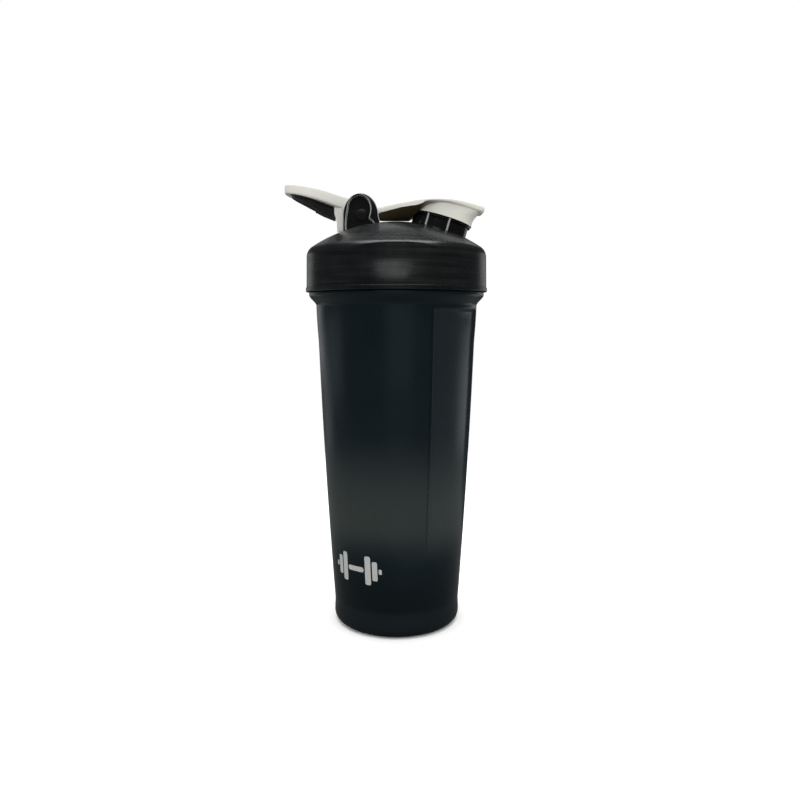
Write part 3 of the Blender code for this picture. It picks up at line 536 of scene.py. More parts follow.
class Nodes:
    """A small helper to wire a material's nodes."""

    def __init__(self, name):
        self.material = bpy.data.materials.new(name)
        self.material.use_nodes = True
        self.tree = self.material.node_tree
        self.shader = self.tree.nodes["Principled BSDF"]
        self.coordinates = self.add("ShaderNodeTexCoord").outputs["Object"]

    def add(self, kind, **values):
        node = self.tree.nodes.new(kind)
        for key, value in values.items():
            setattr(node, key, value)
        return node

    def link(self, source, target):
        self.tree.links.new(source, target)

    def noise(self, scale, detail=3.0, rough=0.5, stretch=(1, 1, 1)):
        """Noise with about this many features per metre, drawn out along axes of small stretch."""
        mapping = self.add("ShaderNodeMapping")
        mapping.inputs["Scale"].default_value = stretch
        self.link(self.coordinates, mapping.inputs["Vector"])
        node = self.add("ShaderNodeTexNoise")
        node.inputs["Scale"].default_value = scale
        node.inputs["Detail"].default_value = detail
        node.inputs["Roughness"].default_value = rough
        self.link(mapping.outputs["Vector"], node.inputs["Vector"])
        return node.outputs["Fac"]

    def spread(self, value, low, high, to_low, to_high):
        return map_range(self.tree, value, low, high, to_low, to_high)

    def mottle(self, scale, detail, to_low=0, to_high=1, rough=0.5):
        """Noise spread over the whole of a range."""
        return self.spread(self.noise(scale, detail, rough), *NOISE_MIDDLE, to_low, to_high)

    def soft_spread(self, value, low, high, to_low, to_high):
        result = self.spread(value, low, high, to_low, to_high)
        result.node.interpolation_type = "SMOOTHSTEP"
        return result

    def math(self, operation, first, second):
        node = self.add("ShaderNodeMath", operation=operation)
        for socket, value in zip(node.inputs, (first, second)):
            if isinstance(value, (int, float)):
                socket.default_value = value
            else:
                self.link(value, socket)
        return node.outputs["Value"]

    def mix(self, share, first, second):
        """A mix of two colours, each a plain colour or a socket."""
        node = self.add("ShaderNodeMix", data_type="RGBA")
        self.link(share, node.inputs["Factor"])
        for name, value in (("A", first), ("B", second)):
            socket = [s for s in node.inputs if s.name == name and s.type == "RGBA"][0]
            if isinstance(value, tuple):
                socket.default_value = (*value, 1)
            else:
                self.link(value, socket)
        return [s for s in node.outputs if s.type == "RGBA"][0]

    def bump(self, height, distance, strength=1.0, before=None):
        node = self.add("ShaderNodeBump")
        node.inputs["Distance"].default_value = distance
        node.inputs["Strength"].default_value = strength
        self.link(height, node.inputs["Height"])
        if before:
            self.link(before, node.inputs["Normal"])
        return node.outputs["Normal"]

    def edges(self, low=0.52, high=0.62):
        """1 on convex edges, 0 elsewhere."""
        geometry = self.add("ShaderNodeNewGeometry")
        return self.spread(geometry.outputs["Pointiness"], low, high, 0, 1)

    def along(self, vector, axis):
        """The part of a vector along X, Y or Z."""
        split = self.add("ShaderNodeSeparateXYZ")
        self.link(vector, split.inputs["Vector"])
        return split.outputs[axis]

    def height(self):
        """The height above the table, in metres."""
        return self.along(self.coordinates, "Z")

    def facing_up(self):
        """How far the surface faces up in its own frame: 1 is straight up, -1 straight down."""
        return self.along(self.coordinates.node.outputs["Normal"], "Z")

    def in_sectors(self, centre, half_angle, edge):
        """1 within an angle of a direction round Z, in degrees, and of its opposite; 0 elsewhere."""
        x = self.along(self.coordinates, "X")
        y = self.along(self.coordinates, "Y")
        from_x = self.math("MULTIPLY", x, math.cos(math.radians(centre)))
        from_y = self.math("MULTIPLY", y, math.sin(math.radians(centre)))
        along = self.math("ADD", from_x, from_y)
        squares = self.math("ADD", self.math("MULTIPLY", x, x), self.math("MULTIPLY", y, y))
        share = self.math("DIVIDE", self.math("MULTIPLY", along, along), squares)
        outer = math.cos(math.radians(half_angle + edge / 2)) ** 2
        inner = math.cos(math.radians(half_angle - edge / 2)) ** 2
        return self.soft_spread(share, outer, inner, 0, 1)

    def current(self, name):
        """What is wired to one of the shader's inputs now."""
        return self.shader.inputs[name].links[0].from_socket

    def set(self, **values):
        """Sets the shader's inputs, each to a number, a colour or a socket."""
        for name, value in values.items():
            socket = self.shader.inputs[name.replace("_", " ")]
            if hasattr(value, "is_linked"):
                self.link(value, socket)
            elif isinstance(value, tuple):
                socket.default_value = (*value, 1)
            else:
                socket.default_value = value


def moulded_plastic(name, colours, rough, grain=1.0, scratches=1.0, edge_wear_and_highlight=0.25):
    """Injection-moulded plastic with a slow colour drift, fine grain, scratches, and convex edges
    whitened both as wear and as a painted highlight.
    """
    nodes = Nodes(name)
    dark, light = colours
    plain = nodes.mix(nodes.mottle(DRIFT_SCALE, 2), dark, light)
    # Convex edges are whitened: partly wear, partly a painted highlight
    worn_and_lit = tuple(channel + (1 - channel) * EDGE_WEAR_AND_HIGHLIGHT_WHITER for channel in light)
    rubbed_and_lit = nodes.spread(nodes.noise(RUB_SCALE, 3), 0.35, 0.7, 0, edge_wear_and_highlight)
    edge = nodes.math("MULTIPLY", nodes.edges(), rubbed_and_lit)
    colour = nodes.mix(edge, plain, worn_and_lit)
    lines = nodes.noise(SCRATCH_SCALE, 2, 0.6, (1, 1, 0.06))
    hair = nodes.noise(HAIR_SCALE, 1, 0.5, (0.05, 0.05, 1))
    crossed = nodes.math("MULTIPLY", lines, hair)
    scratch = nodes.soft_spread(crossed, 0.18, 0.4, 0, SCRATCH_ROUGHNESS * scratches)
    smudges = nodes.noise(SMUDGE_SCALE, 3, 0.6)
    smudge = nodes.spread(smudges, 0.3, 0.75, rough - SMUDGE_BELOW, rough + SMUDGE_ABOVE)
    roughness = nodes.math("ADD", smudge, scratch)
    fine = nodes.bump(nodes.noise(GRAIN_SCALE, 2, 0.6), GRAIN_DEPTH * grain)
    slow = nodes.bump(nodes.noise(WAVE_SCALE, 2), WAVE_DEPTH, 0.6, fine)
    nodes.set(Base_Color=colour, Roughness=roughness, Normal=slow)
    return nodes


def cup_material():
    """Smoke-black plastic with a green-blue cast. Painted light makes a band low down, the panels and the
    solid foot lighter;
    painted shade darkens the wall round the level of the cup's floor."""
    colours = (CUP_DARK, CUP_LIGHT)
    nodes = moulded_plastic("smoke_cup", colours, rough=0.28, grain=0.8, scratches=0, edge_wear_and_highlight=0)
    drift = nodes.mottle(14, 2, -ZONE_DRIFT, ZONE_DRIFT)
    height = nodes.math("ADD", nodes.height(), drift)
    # Painted shade: the wall is darker low down, round the level of the cup's floor
    low = nodes.soft_spread(height, *PAINTED_SHADE_FADE, PAINTED_SHADE_SHARE, 0)
    colour = nodes.mix(low, nodes.current("Base Color"), CUP_PAINTED_SHADE)
    # Painted light: a lighter band low on the cup
    rise = nodes.soft_spread(height, *LIGHT_BAND_RISE, 0, 1)
    fall = nodes.soft_spread(height, *LIGHT_BAND_FALL, 1, 0)
    colour = nodes.mix(nodes.math("MULTIPLY", rise, fall), colour, CUP_PAINTED_LIGHT_BAND)
    # Painted light: the panels are lighter
    panel = nodes.in_sectors(PANEL_CENTRES[0], PANEL_HALF_ANGLE, 0.5)
    panel = nodes.math("MULTIPLY", panel, nodes.spread(nodes.height(), *PANEL_LIGHT_FALL, PANEL_LIGHT_SHARE, 0))
    panel = nodes.math("MULTIPLY", panel, nodes.soft_spread(nodes.height(), *PANEL_LIGHT_RISE, 0, 1))
    colour = nodes.mix(panel, colour, CUP_PANEL_PAINTED_LIGHT)
    # Painted light: the foot is lighter
    foot = nodes.soft_spread(nodes.height(), *FOOT_LIGHT_FADE, FOOT_LIGHT_SHARE, 0)
    colour = nodes.mix(foot, colour, CUP_FOOT_PAINTED_LIGHT)
    nodes.set(Base_Color=colour, IOR=PLASTIC_IOR, Specular_Tint=CUP_REFLECTION)
    nodes.set(Sheen_Weight=0.06, Sheen_Roughness=0.25, Sheen_Tint=CUP_SHEEN)
    return nodes.material


def lid_material():
    """Satin black plastic with the faint level lines that turning left in its mould."""
    nodes = moulded_plastic("black_lid", LID_COLOURS, rough=0.27, grain=1.4, scratches=0.6)
    streaks = nodes.spread(nodes.noise(900, 3, 0.6, (0.02, 0.02, 1)), 0.35, 0.65, 0, 1)
    patches = nodes.spread(nodes.noise(40, 2), 0.4, 0.65, 0, 1)
    lines = nodes.math("MULTIPLY", streaks, patches)
    uneven = nodes.spread(streaks, 0, 1, -0.03, 0.03)
    nodes.set(Base_Color=nodes.mix(lines, nodes.current("Base Color"), LID_STREAK))
    nodes.set(Roughness=nodes.math("ADD", nodes.current("Roughness"), uneven))
    nodes.set(Normal=nodes.bump(streaks, 0.01 * MM, 0.5, nodes.current("Normal")), IOR=PLASTIC_IOR)
    return nodes.material


def gloss_material(name, colours, rough):
    """Glossy black plastic; made in light grey, it is the painted highlight along the ears' rounded rims
    and on the spout's ribs.
    """
    nodes = moulded_plastic(name, colours, rough, grain=0.3, scratches=0.5, edge_wear_and_highlight=0.1)
    nodes.set(IOR=GLOSS_IOR)
    return nodes.material


def white_plastic(name):
    """Off-white plastic that lets a little light in."""
    nodes = moulded_plastic(name, WHITE_COLOURS, rough=0.38, grain=1.2, edge_wear_and_highlight=0)
    nodes.set(Subsurface_Weight=0.06, Subsurface_Scale=2 * MM)
    return nodes


def cap_material():
    """The white plastic, with painted shade in a dark olive where the arm faces down, from the hinge to
    the spout.
    """
    nodes = white_plastic("off_white_cap")
    facing_down = nodes.soft_spread(nodes.facing_up(), *SHADE_FACING, 1, 0)
    before_spout = nodes.soft_spread(nodes.along(nodes.coordinates, "X"), *SHADE_ALONG, 1, 0)
    share = nodes.math("MULTIPLY", facing_down, before_spout)
    # Painted shade, olive-tinted, on the faces of the arm that turn down
    olive = nodes.mix(nodes.mottle(120, 3), *OLIVE_SHADE_COLOURS)
    nodes.set(Base_Color=nodes.mix(share, nodes.current("Base Color"), olive))
    return nodes.material


def grip_material():
    """Soft-touch elastomer with a fine dull grain."""
    nodes = moulded_plastic(
        "soft_grip", GRIP_COLOURS, rough=0.55, grain=3, scratches=0.5, edge_wear_and_highlight=0.2
    )
    nodes.set(Sheen_Weight=0.1, Sheen_Roughness=0.5)
    return nodes.material


def silicone_material():
    """Black silicone, duller than the plastics."""
    nodes = moulded_plastic(
        "black_silicone", SILICONE_COLOURS, rough=0.5, grain=2, scratches=0.4, edge_wear_and_highlight=0.1
    )
    return nodes.material


def print_material():
    """Light grey pad-printed ink, a little uneven."""
    nodes = Nodes("grey_print")
    thin = nodes.spread(nodes.noise(1500, 3, 0.6), 0.35, 0.7, 0, 1)
    nodes.set(Base_Color=nodes.mix(thin, *INK_COLOURS), Roughness=nodes.mottle(600, 2, 0.45, 0.6))
    nodes.set(Normal=nodes.bump(nodes.noise(2500, 2), 0.008 * MM))
    return nodes.material


def wire_material():
    """Drawn stainless wire: uneven polish and faint heat colour."""
    nodes = Nodes("stainless_wire")
    nodes.set(Base_Color=nodes.mix(nodes.mottle(70, 3), *WIRE_COLOURS))
    nodes.set(Roughness=nodes.mottle(900, 3, 0.16, 0.34, rough=0.7))
    nodes.set(Normal=nodes.bump(nodes.noise(2200, 2), 0.01 * MM), Metallic=1.0)
    return nodes.material


# Cup


def wall_radius(height):
    """The cup's outer radius: a straight taper, bowed out a little, then a flare under the collar."""
    share = min((height - FOOT_HEIGHT) / (WALL_TOP - FOOT_HEIGHT), 1)
    bowed = share + WALL_CROWN * share * (1 - share)
    flare = smooth_step(height, WALL_TOP - 8 * MM, COLLAR_BOTTOM)
    taper = (WALL_TOP_RADIUS - WALL_BOTTOM_RADIUS) * bowed
    return WALL_BOTTOM_RADIUS + taper + (FLARE_RADIUS - WALL_TOP_RADIUS) * flare


def panel_depth(angle, radius, height):
    """How far the grip panels press the wall in, with the slim groove and bead along their edges."""
    upper = smooth_step(height, PANEL_TOP, PANEL_TOP - PANEL_LEDGE)
    seam = upper * smooth_step(height, PANEL_BOTTOM + 4 * MM, PANEL_BOTTOM + 16 * MM)
    lower = smooth_step(height, PANEL_BOTTOM, PANEL_BOTTOM + 45 * MM)
    depth = 0
    for centre in PANEL_CENTRES:
        turn = turn_from(angle, centre)
        bead = PANEL_BEAD * math.exp(-(((turn - PANEL_HALF_ANGLE) / PANEL_BEAD_ANGLE) ** 2))
        groove = math.exp(-(((turn - PANEL_HALF_ANGLE - 2 * PANEL_BEAD_ANGLE) / PANEL_BEAD_ANGLE) ** 2))
        depth += (PANEL_GROOVE * groove - bead) * seam
        if turn < PANEL_HALF_ANGLE:
            chord = math.cos(math.radians(PANEL_HALF_ANGLE)) / math.cos(math.radians(turn))
            flat = PANEL_FLATNESS * radius * (1 - chord)
            edge = smooth_step(PANEL_HALF_ANGLE - turn, 0, PANEL_EDGE_ANGLE)
            depth += (PANEL_STEP * edge + flat) * upper * lower
    return depth


def pressed_wall(angle, radius, height):
    return radius - panel_depth(angle, radius, height)


def cup_angles():
    """Even steps, with extra columns across every panel edge."""
    angles = {round(angle, 6) for angle in even_angles(ROUND_STEPS)}
    for centre in PANEL_CENTRES:
        for side in (-1, 1):
            for offset in between(-2 * PANEL_EDGE_ANGLE, PANEL_EDGE_ANGLE, 15):
                degrees = centre + side * (PANEL_HALF_ANGLE - offset)
                angles.add(round(math.radians(degrees) % math.tau, 6))
    return sorted(angles)


def cup_profile():
    floor = BASE_RECESS + FLOOR_THICKNESS
    foot_radius = FOOT_RADIUS - FOOT_CORNER
    wall = between(FOOT_HEIGHT + FOOT_SLOPE / 2, PANEL_TOP - PANEL_LEDGE, 44)
    wall += between(PANEL_TOP - PANEL_LEDGE, PANEL_TOP, 8)[1:]
    profile = [(0, BASE_RECESS + 0.25 * MM), (2 * MM, BASE_RECESS + 0.25 * MM), (2.3 * MM, BASE_RECESS)]
    profile += [(BASE_RECESS_RADIUS - 6 * MM, BASE_RECESS), (BASE_RECESS_RADIUS, BASE_RECESS)]
    profile += [(BASE_RECESS_RADIUS + 1 * MM, 0)]
    profile += arc(foot_radius, FOOT_CORNER, FOOT_CORNER, -90, 0, 12)
    slope = between(FOOT_HEIGHT - FOOT_SLOPE / 2, FOOT_HEIGHT + FOOT_SLOPE / 2, 8)
    wall_foot = wall_radius(slope[-1])
    for height in slope[:-1]:
        out = (wall_foot - FOOT_RADIUS) * smooth_step(height, slope[0], slope[-1])
        profile.append((FOOT_RADIUS + out, height))
    profile += [(wall_radius(height), height) for height in wall]
    for height in between(COLLAR_BOTTOM, COLLAR_FULL, 14):
        out = (COLLAR_RADIUS - FLARE_RADIUS) * smooth_step(height, COLLAR_BOTTOM, COLLAR_FULL)
        profile.append((FLARE_RADIUS + out, height))
    profile += arc(COLLAR_RADIUS - 0.3 * MM, COLLAR_TOP - 0.3 * MM, 0.3 * MM, 0, 90, 3)
    profile += [(NECK_RADIUS, COLLAR_TOP)]
    lip = (NECK_RADIUS - NECK_INSIDE) / 2
    profile += arc(NECK_RADIUS - lip, CUP_HEIGHT - lip, lip, 0, 180, 12)
    profile += [(NECK_INSIDE, COLLAR_TOP), (FLARE_RADIUS - WALL_THICKNESS - 0.4 * MM, COLLAR_BOTTOM)]
    inside = [height for height in reversed(wall) if height > floor + FLOOR_CORNER]
    profile += [(wall_radius(height) - WALL_THICKNESS, height) for height in inside]
    inner_radius = wall_radius(floor + FLOOR_CORNER) - WALL_THICKNESS
    profile += arc(inner_radius - FLOOR_CORNER, floor + FLOOR_CORNER, FLOOR_CORNER, 0, -90, 8)
    profile.append((0, floor))
    return profile


def thread_ridge(wall, crest, start_height, turns, first_angle):
    """One ridge of the screw thread, from just inside the wall to its crest, thinning out at its ends."""
    steps = round(turns * 120)
    embedded = wall + math.copysign(THREAD_EMBED, wall - crest)
    rings = []
    for share in between(0, 1, steps):
        angle = first_angle + math.tau * turns * share
        height = start_height + THREAD_LEAD * turns * share
        fade = min(1, 0.1 + share * 8, 0.1 + (1 - share) * 8)
        top = wall + (crest - wall) * fade
        root = THREAD_ROOT_WIDTH / 2
        tip = THREAD_CREST_WIDTH / 2
        section = [(embedded, height - root), (top, height - tip)]
        section += [(top, height + tip), (embedded, height + root)]
        rings.append([polar(radius, angle, z) for radius, z in section])
    return lofted(rings)


def add_thread(obj, wall, crest, start_height, turns, material):
    """Joins the ridges to the object and returns them."""
    ridges = []
    for start in range(THREAD_STARTS):
        bm = thread_ridge(wall, crest, start_height, turns, math.tau * start / THREAD_STARTS)
        ridge = add_object(f"{obj.name}_thread_{start + 1}", bm, material)
        combine(obj, "UNION", ridge)
        ridges.append(ridge)
    return ridges


def make_cup(material):
    cup = add_object("cup_shell", turned(cup_profile(), cup_angles(), pressed_wall), material)
    ridges = add_thread(cup, NECK_RADIUS, CUP_THREAD_CREST, CUP_THREAD_START, CUP_THREAD_TURNS, material)
    settle(cup, *ridges)
    finish_piece(cup, "cup_body", "smoke_cup", "cup")


def printed_bar(bm, across, size):
    """One round-cornered bar of the printed mark, bent to the cup's wall and a little proud of it."""
    width, height = size
    corner = min(width, height) * MARK_CORNER
    rings = []
    for share in between(0, 1, 20):
        place = (share - 0.5) * width
        to_end = max(abs(place) - (width / 2 - corner), 0)
        half = height / 2 - corner + math.sqrt(max(corner**2 - to_end**2, 0))
        ring = []
        for z, proud in ((-half, -1), (-half, 1), (0, 1), (half, 1), (half, -1), (0, -1)):
            level = MARK_MIDDLE + z
            radius = wall_radius(level)
            angle = math.radians(MARK_AZIMUTH) + (across + place) / radius
            radius += proud * MARK_THICKNESS
            ring.append(polar(radius, angle, level))
        rings.append(ring)
    lofted(rings, bm)


def make_mark(material):
    """A plain dumbbell pictogram, pad-printed low on the front."""
    bm = bmesh.new()
    printed_bar(bm, 0, MARK_HANDLE)
    for side in (-1, 1):
        for across, size in MARK_WEIGHTS:
            printed_bar(bm, side * across, size)
    mark = add_object("cup_mark", bm, material)
    shade(mark.data)
    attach(mark, "cup_body")


# Lid


def dome_height(radius, thickness=0):
    """The height of the dome's outside, or of its inside, at a distance from the axis."""
    return DOME_TOP - DOME_RADIUS + math.sqrt((DOME_RADIUS - thickness) ** 2 - radius**2)


def lid_shoulder_height():
    """The height where the lid's side ends and its rounded shoulder begins."""
    shoulder_end = LID_SHOULDER_RADIUS - LID_SHOULDER_CORNER / 2
    return dome_height(shoulder_end) - LID_SHOULDER_CORNER * math.sin(math.radians(60))


def lid_side(height):
    """The radius of the lid's side above its bead, which draws in a little towards the shoulder."""
    low = LID_BOTTOM + LID_BEAD_HEIGHT
    share = min((height - low) / (lid_shoulder_height() - low), 1)
    widest = LID_RADIUS - LID_BEAD
    return widest + (LID_SHOULDER_RADIUS - widest) * share


def scooped_side(angle, radius, height):
    """Two finger scoops, at the front and the back, flatten the top of the lid's outer side."""
    if radius < LID_INSIDE + 0.2 * MM or height < SCOOP_BOTTOM:
        return radius
    depth = 0
    for centre in (-90, 90):
        share = turn_from(angle, centre) / SCOOP_HALF_ANGLE
        depth = max(depth, SCOOP_DEPTH * (1 - share**2))
    face = lid_side(height) - depth * smooth_step(height, SCOOP_BOTTOM, SCOOP_FULL)
    return min(radius, face) if depth > 0 else radius


def lid_profile():
    shoulder_end = LID_SHOULDER_RADIUS - LID_SHOULDER_CORNER / 2
    shoulder_height = lid_shoulder_height()
    centre = LID_SHOULDER_RADIUS - LID_SHOULDER_CORNER
    bead_top = LID_BOTTOM + LID_BEAD_HEIGHT
    profile = [(LID_INSIDE, LID_BOTTOM), (LID_RADIUS - 0.5 * MM, LID_BOTTOM)]
    profile += arc(LID_RADIUS - 0.5 * MM, LID_BOTTOM + 0.5 * MM, 0.5 * MM, -90, 0, 4)
    profile += arc(LID_RADIUS - 0.2 * MM, bead_top - 0.3 * MM, 0.2 * MM, 0, 70, 3)
    side = [bead_top] + between(bead_top + 0.4 * MM, shoulder_height, 26)[:-1]
    profile += [(lid_side(height), height) for height in side]
    profile += arc(centre, shoulder_height, LID_SHOULDER_CORNER, 0, 60, 24)
    outside = between(shoulder_end - 1 * MM, 3 * MM, 24)
    profile += [(radius, dome_height(radius)) for radius in outside]
    profile += [(0, DOME_TOP), (0, DOME_TOP - DOME_THICKNESS)]
    inside = between(4 * MM, RIB_INSIDE, 16)
    profile += [(radius, dome_height(radius, DOME_THICKNESS)) for radius in inside]
    rib_bottom = CUP_HEIGHT - RIB_DEPTH
    profile += [(RIB_INSIDE, rib_bottom), (RIB_OUTSIDE, rib_bottom), (RIB_OUTSIDE, GASKET_SEAT)]
    profile += [(LID_INSIDE, GASKET_SEAT)]
    return profile


def arch(centre_x, top, half_width, rise, steps):
    """Half an ellipse of (x, z) points, from its right side over its top to its left side."""
    return [(centre_x + half_width * x, top - rise + rise * z) for x, z in arc(0, 0, 1, 0, 180, steps)]


def ear_outline():
    """The hood seen from the front: a tall arch whose sides run down into the dome."""
    root = DOME_TOP - EAR_ROOT
    right = EAR_CENTRE_X + EAR_RADIUS
    outline = arch(EAR_CENTRE_X, EAR_TOP, EAR_RADIUS, EAR_RISE, 48)
    outline += [(EAR_CENTRE_X - EAR_RADIUS - 0.2 * MM, root), (right + 2.4 * MM, root)]
    outline.append((right + 0.8 * MM, DOME_TOP - 1 * MM))
    return outline


def ear_hollow_outline():
    """The hollow in the hood's outer face: it widens downwards and has a small kink on its spout side."""
    root = DOME_TOP - EAR_ROOT
    spring = HOLLOW_TOP - HOLLOW_RISE
    left = HOLLOW_CENTRE_X - HOLLOW_RADIUS
    right = HOLLOW_CENTRE_X + HOLLOW_RADIUS
    outline = arch(HOLLOW_CENTRE_X, HOLLOW_TOP, HOLLOW_RADIUS, HOLLOW_RISE, 40)
    outline += [(left - 0.7 * MM, spring - 3.5 * MM), (left - 1.1 * MM, spring - 8 * MM)]
    outline += [(left - 0.9 * MM, root), (right + 3.2 * MM, root), (right + 1.6 * MM, spring - 7.2 * MM)]
    outline += [(right + 0.7 * MM, spring - 5.9 * MM), (right - 0.4 * MM, spring - 5.2 * MM)]
    outline += [(right - 0.9 * MM, spring - 4.3 * MM), (right - 0.5 * MM, spring - 3.0 * MM)]
    outline.append((right - 0.1 * MM, spring - 1.2 * MM))
    return outline


def make_ear(side, trim, material, edge):
    """One hinge ear: a hood that is open on its outer face, with a web that the pin passes through."""
    word = "front" if side < 0 else "back"
    ear = add_object(f"ear_{word}", slab(ear_outline(), side * EAR_INSIDE, side * EAR_OUTSIDE), material)
    reach = EAR_OUTSIDE + 1 * MM
    cut = slab(ear_hollow_outline(), side * (EAR_INSIDE + EAR_WEB), side * reach)
    hollow = add_object(f"ear_hollow_{word}", cut, material)
    combine(ear, "DIFFERENCE", hollow)
    # The rounded edges take the light grey edge material: a painted highlight along the hood's rims
    round_edges(ear, 0.32 * MM, 4, edge)
    combine(ear, "DIFFERENCE", trim)
    return settle(ear, hollow)


def spout_profile():
    lip = 0.7 * MM
    profile = [(SPOUT_BORE - 1 * MM, SPOUT_ROOT), (SPOUT_RADIUS, SPOUT_ROOT)]
    profile += [(SPOUT_RADIUS, SPOUT_RING_BOTTOM)]
    profile += [(SPOUT_RING_RADIUS - 0.15 * MM, SPOUT_RING_BOTTOM + 0.4 * MM)]
    profile += [(SPOUT_RING_RADIUS, SPOUT_RING_BOTTOM + 0.6 * MM)]
    profile += [(SPOUT_RING_RADIUS, SPOUT_RING_TOP - 0.2 * MM)]
    profile += [(SPOUT_RING_RADIUS - 0.2 * MM, SPOUT_RING_TOP), (SPOUT_NECK_RADIUS, SPOUT_RING_TOP)]
    profile += arc(SPOUT_NECK_RADIUS - lip, SPOUT_RIM - lip, lip, 0, 90, 8)
    profile += [(SPOUT_BORE - 1 * MM, SPOUT_RIM)]
    return profile


def make_spout(trim, material, edge):
    """The spout, with slim upright ribs up to its ring, made in light grey as painted highlights."""
    spout = add_object("spout", on_spout(turned(spout_profile(), even_angles(SPOUT_STEPS))), material)
    out = SPOUT_RING_RADIUS - SPOUT_RIB_SIZE / 2
    used = []
    for rib, degrees in enumerate(SPOUT_RIB_ANGLES):
        angle = math.radians(degrees)
        profile = rod_profile(SPOUT_RIB_SIZE, SPOUT_RIB_BOTTOM, SPOUT_RING_TOP - 0.1 * MM)
        bm = turned(profile, even_angles(24))
        bmesh.ops.translate(bm, verts=bm.verts, vec=polar(out, angle))
        # Each rib is in the light grey edge material: a painted highlight
        solid = add_object(f"spout_rib_{rib + 1}", on_spout(bm), edge)
        combine(spout, "UNION", solid)
        used.append(solid)
    combine(spout, "DIFFERENCE", trim)
    return settle(spout, *used)


# edge is the light grey material of the painted highlights on the ears' rims and the spout's ribs
def make_lid(material, gloss, edge):
    lid = add_object("lid_shell", turned(lid_profile(), even_angles(ROUND_STEPS), scooped_side), material)
    trim = dome_ball(DOME_RADIUS - DOME_THICKNESS / 2, "dome_trim")
    used = [make_ear(side, trim, gloss, edge) for side in (-1, 1)]
    used.append(make_spout(trim, gloss, edge))
    for solid in used:
        combine(lid, "UNION", solid)
    reach = EAR_OUTSIDE + 1 * MM
    bore = spout_rod("spout_bore", SPOUT_BORE, 2 * SPOUT_ROOT, 2 * SPOUT_RIM, gloss)
    hole = hinge_rod("ear_pin_hole", PIN_RADIUS + PIN_PLAY, -reach, reach, gloss)
    for cutter in (bore, hole):
        combine(lid, "DIFFERENCE", cutter)
        used.append(cutter)
    half_pitch = THREAD_LEAD / THREAD_STARTS / 2
    start = CUP_THREAD_START + half_pitch
    used += add_thread(lid, LID_INSIDE, LID_THREAD_CREST, start, LID_THREAD_TURNS, material)
    settle(lid, trim, *used)
    finish_piece(lid, "lid_body", "black_lid", "lid")


def make_gasket(material):
    inside = GASKET_HIGH.x - 3.7 * MM
    corner = 0.45 * MM
    outside = GASKET_HIGH.x
    low, high = GASKET_LOW.z, GASKET_HIGH.z
    profile = [(inside, low)] + arc(outside - corner, low + corner, corner, -90, 0, 5)
    profile += arc(outside - corner, high - corner, corner, 0, 90, 5) + [(inside, high)]
    gasket = add_object("gasket_ring", turned(profile, even_angles(ROUND_STEPS)), material)
    finish_piece(gasket, "gasket_body", "black_silicone", "lid_gasket")


def make_pin(material):
    end = PIN_HIGH.y
    reach = EAR_INSIDE + EAR_WEB + TOUCH_GAP
    corner = 0.5 * MM
    half = [(PIN_RADIUS, reach), (PIN_HEAD_RADIUS, reach)]
    half += arc(PIN_HEAD_RADIUS - corner, end - corner, corner, 0, 90, 5) + [(0, end)]
    profile = [(radius, -height) for radius, height in reversed(half)] + half
    pin = add_object("pin", along_y(profile), material)
    finish_piece(pin, "lid_body", "gloss_black", "hinge_pin")


# Flip cap


def cap_top(x):
    """The height of the flip cap's crowned top along its length."""
    from_crest = abs(x - CAP_CREST_X) / (CAP_TIP_X - CAP_CREST_X)
    if x < CAP_CREST_X:
        return CAP_CREST - CAP_FALL_TO_ARM * from_crest**2.2
    return CAP_CREST - CAP_FALL_TO_TIP * from_crest**3.4


def cap_bottom(x):
    """The height of the flip cap's underside: it rises from the arm and falls again to the thumb tab."""
    if x < CAP_UNDERSIDE_X:
        return CAP_UNDERSIDE - UNDERSIDE_FALL_TO_ARM * smooth_step(CAP_UNDERSIDE_X - x, 0, 34 * MM)
    return CAP_UNDERSIDE - UNDERSIDE_FALL_TO_TIP * smooth_step(x, CAP_UNDERSIDE_X, CAP_TIP_X + 2 * MM)


def cap_half_width(x):
    """The cap's half width: narrow at the hinge, round over the spout, and narrower at the thumb tab."""
    if x < CAP_WIDEST_X:
        arm = ARM_HALF_WIDTH - 0.2 * MM
        shoulder = (CAP_SHOULDER_WIDTH - arm) * smooth_step(x, ARM_END_X, ARM_END_X + 12 * MM)
        plate = (CAP_HALF_WIDTH - CAP_SHOULDER_WIDTH) * smooth_step(x, -2 * MM, 17 * MM)
        return arm + shoulder + plate
    narrowing = smooth_step(x, CAP_WIDEST_X, CAP_TIP_X + 1 * MM)
    return CAP_HALF_WIDTH - (CAP_HALF_WIDTH - CAP_TAB_WIDTH) * narrowing


def cap_keel(x):
    """How far the arm's underside has turned into a keel: all the way between the hinge and the spout."""
    return smooth_step(x, ARM_END_X - 3 * MM, ARM_END_X + 1 * MM) * smooth_step(x, 17 * MM, 9 * MM)


def cap_section(x, shrink):
    """A rounded section across the flip cap; shrink draws it in at the rounded tip."""
    middle = (cap_top(x) + cap_bottom(x)) / 2
    half_height = (cap_top(x) - cap_bottom(x)) / 2
    half_width = cap_half_width(x) - CAP_TIP_LENGTH * (1 - shrink)
    edge = cap_top(x) - ARM_EDGE
    keel_depth = edge - ARM_UNDERSIDE
    ring = []
    for angle in even_angles(72):
        across, up = superellipse(angle, CAP_CORNER)
        height = middle + half_height * shrink * up
        if up < 0:
            keel = edge - keel_depth * (1 - abs(across) ** KEEL_POWER)
            height += (keel - height) * cap_keel(x)
        ring.append((x, half_width * across, height))
    return ring


def cap_sections():
    tip_start = CAP_TIP_X - CAP_TIP_LENGTH
    rings = [cap_section(x, 1) for x in between(PIVOT.x, tip_start, 90)]
    for degrees in between(10, 88, 10):
        angle = math.radians(degrees)
        rings.append(cap_section(tip_start + CAP_TIP_LENGTH * math.sin(angle), math.cos(angle)))
    return rings


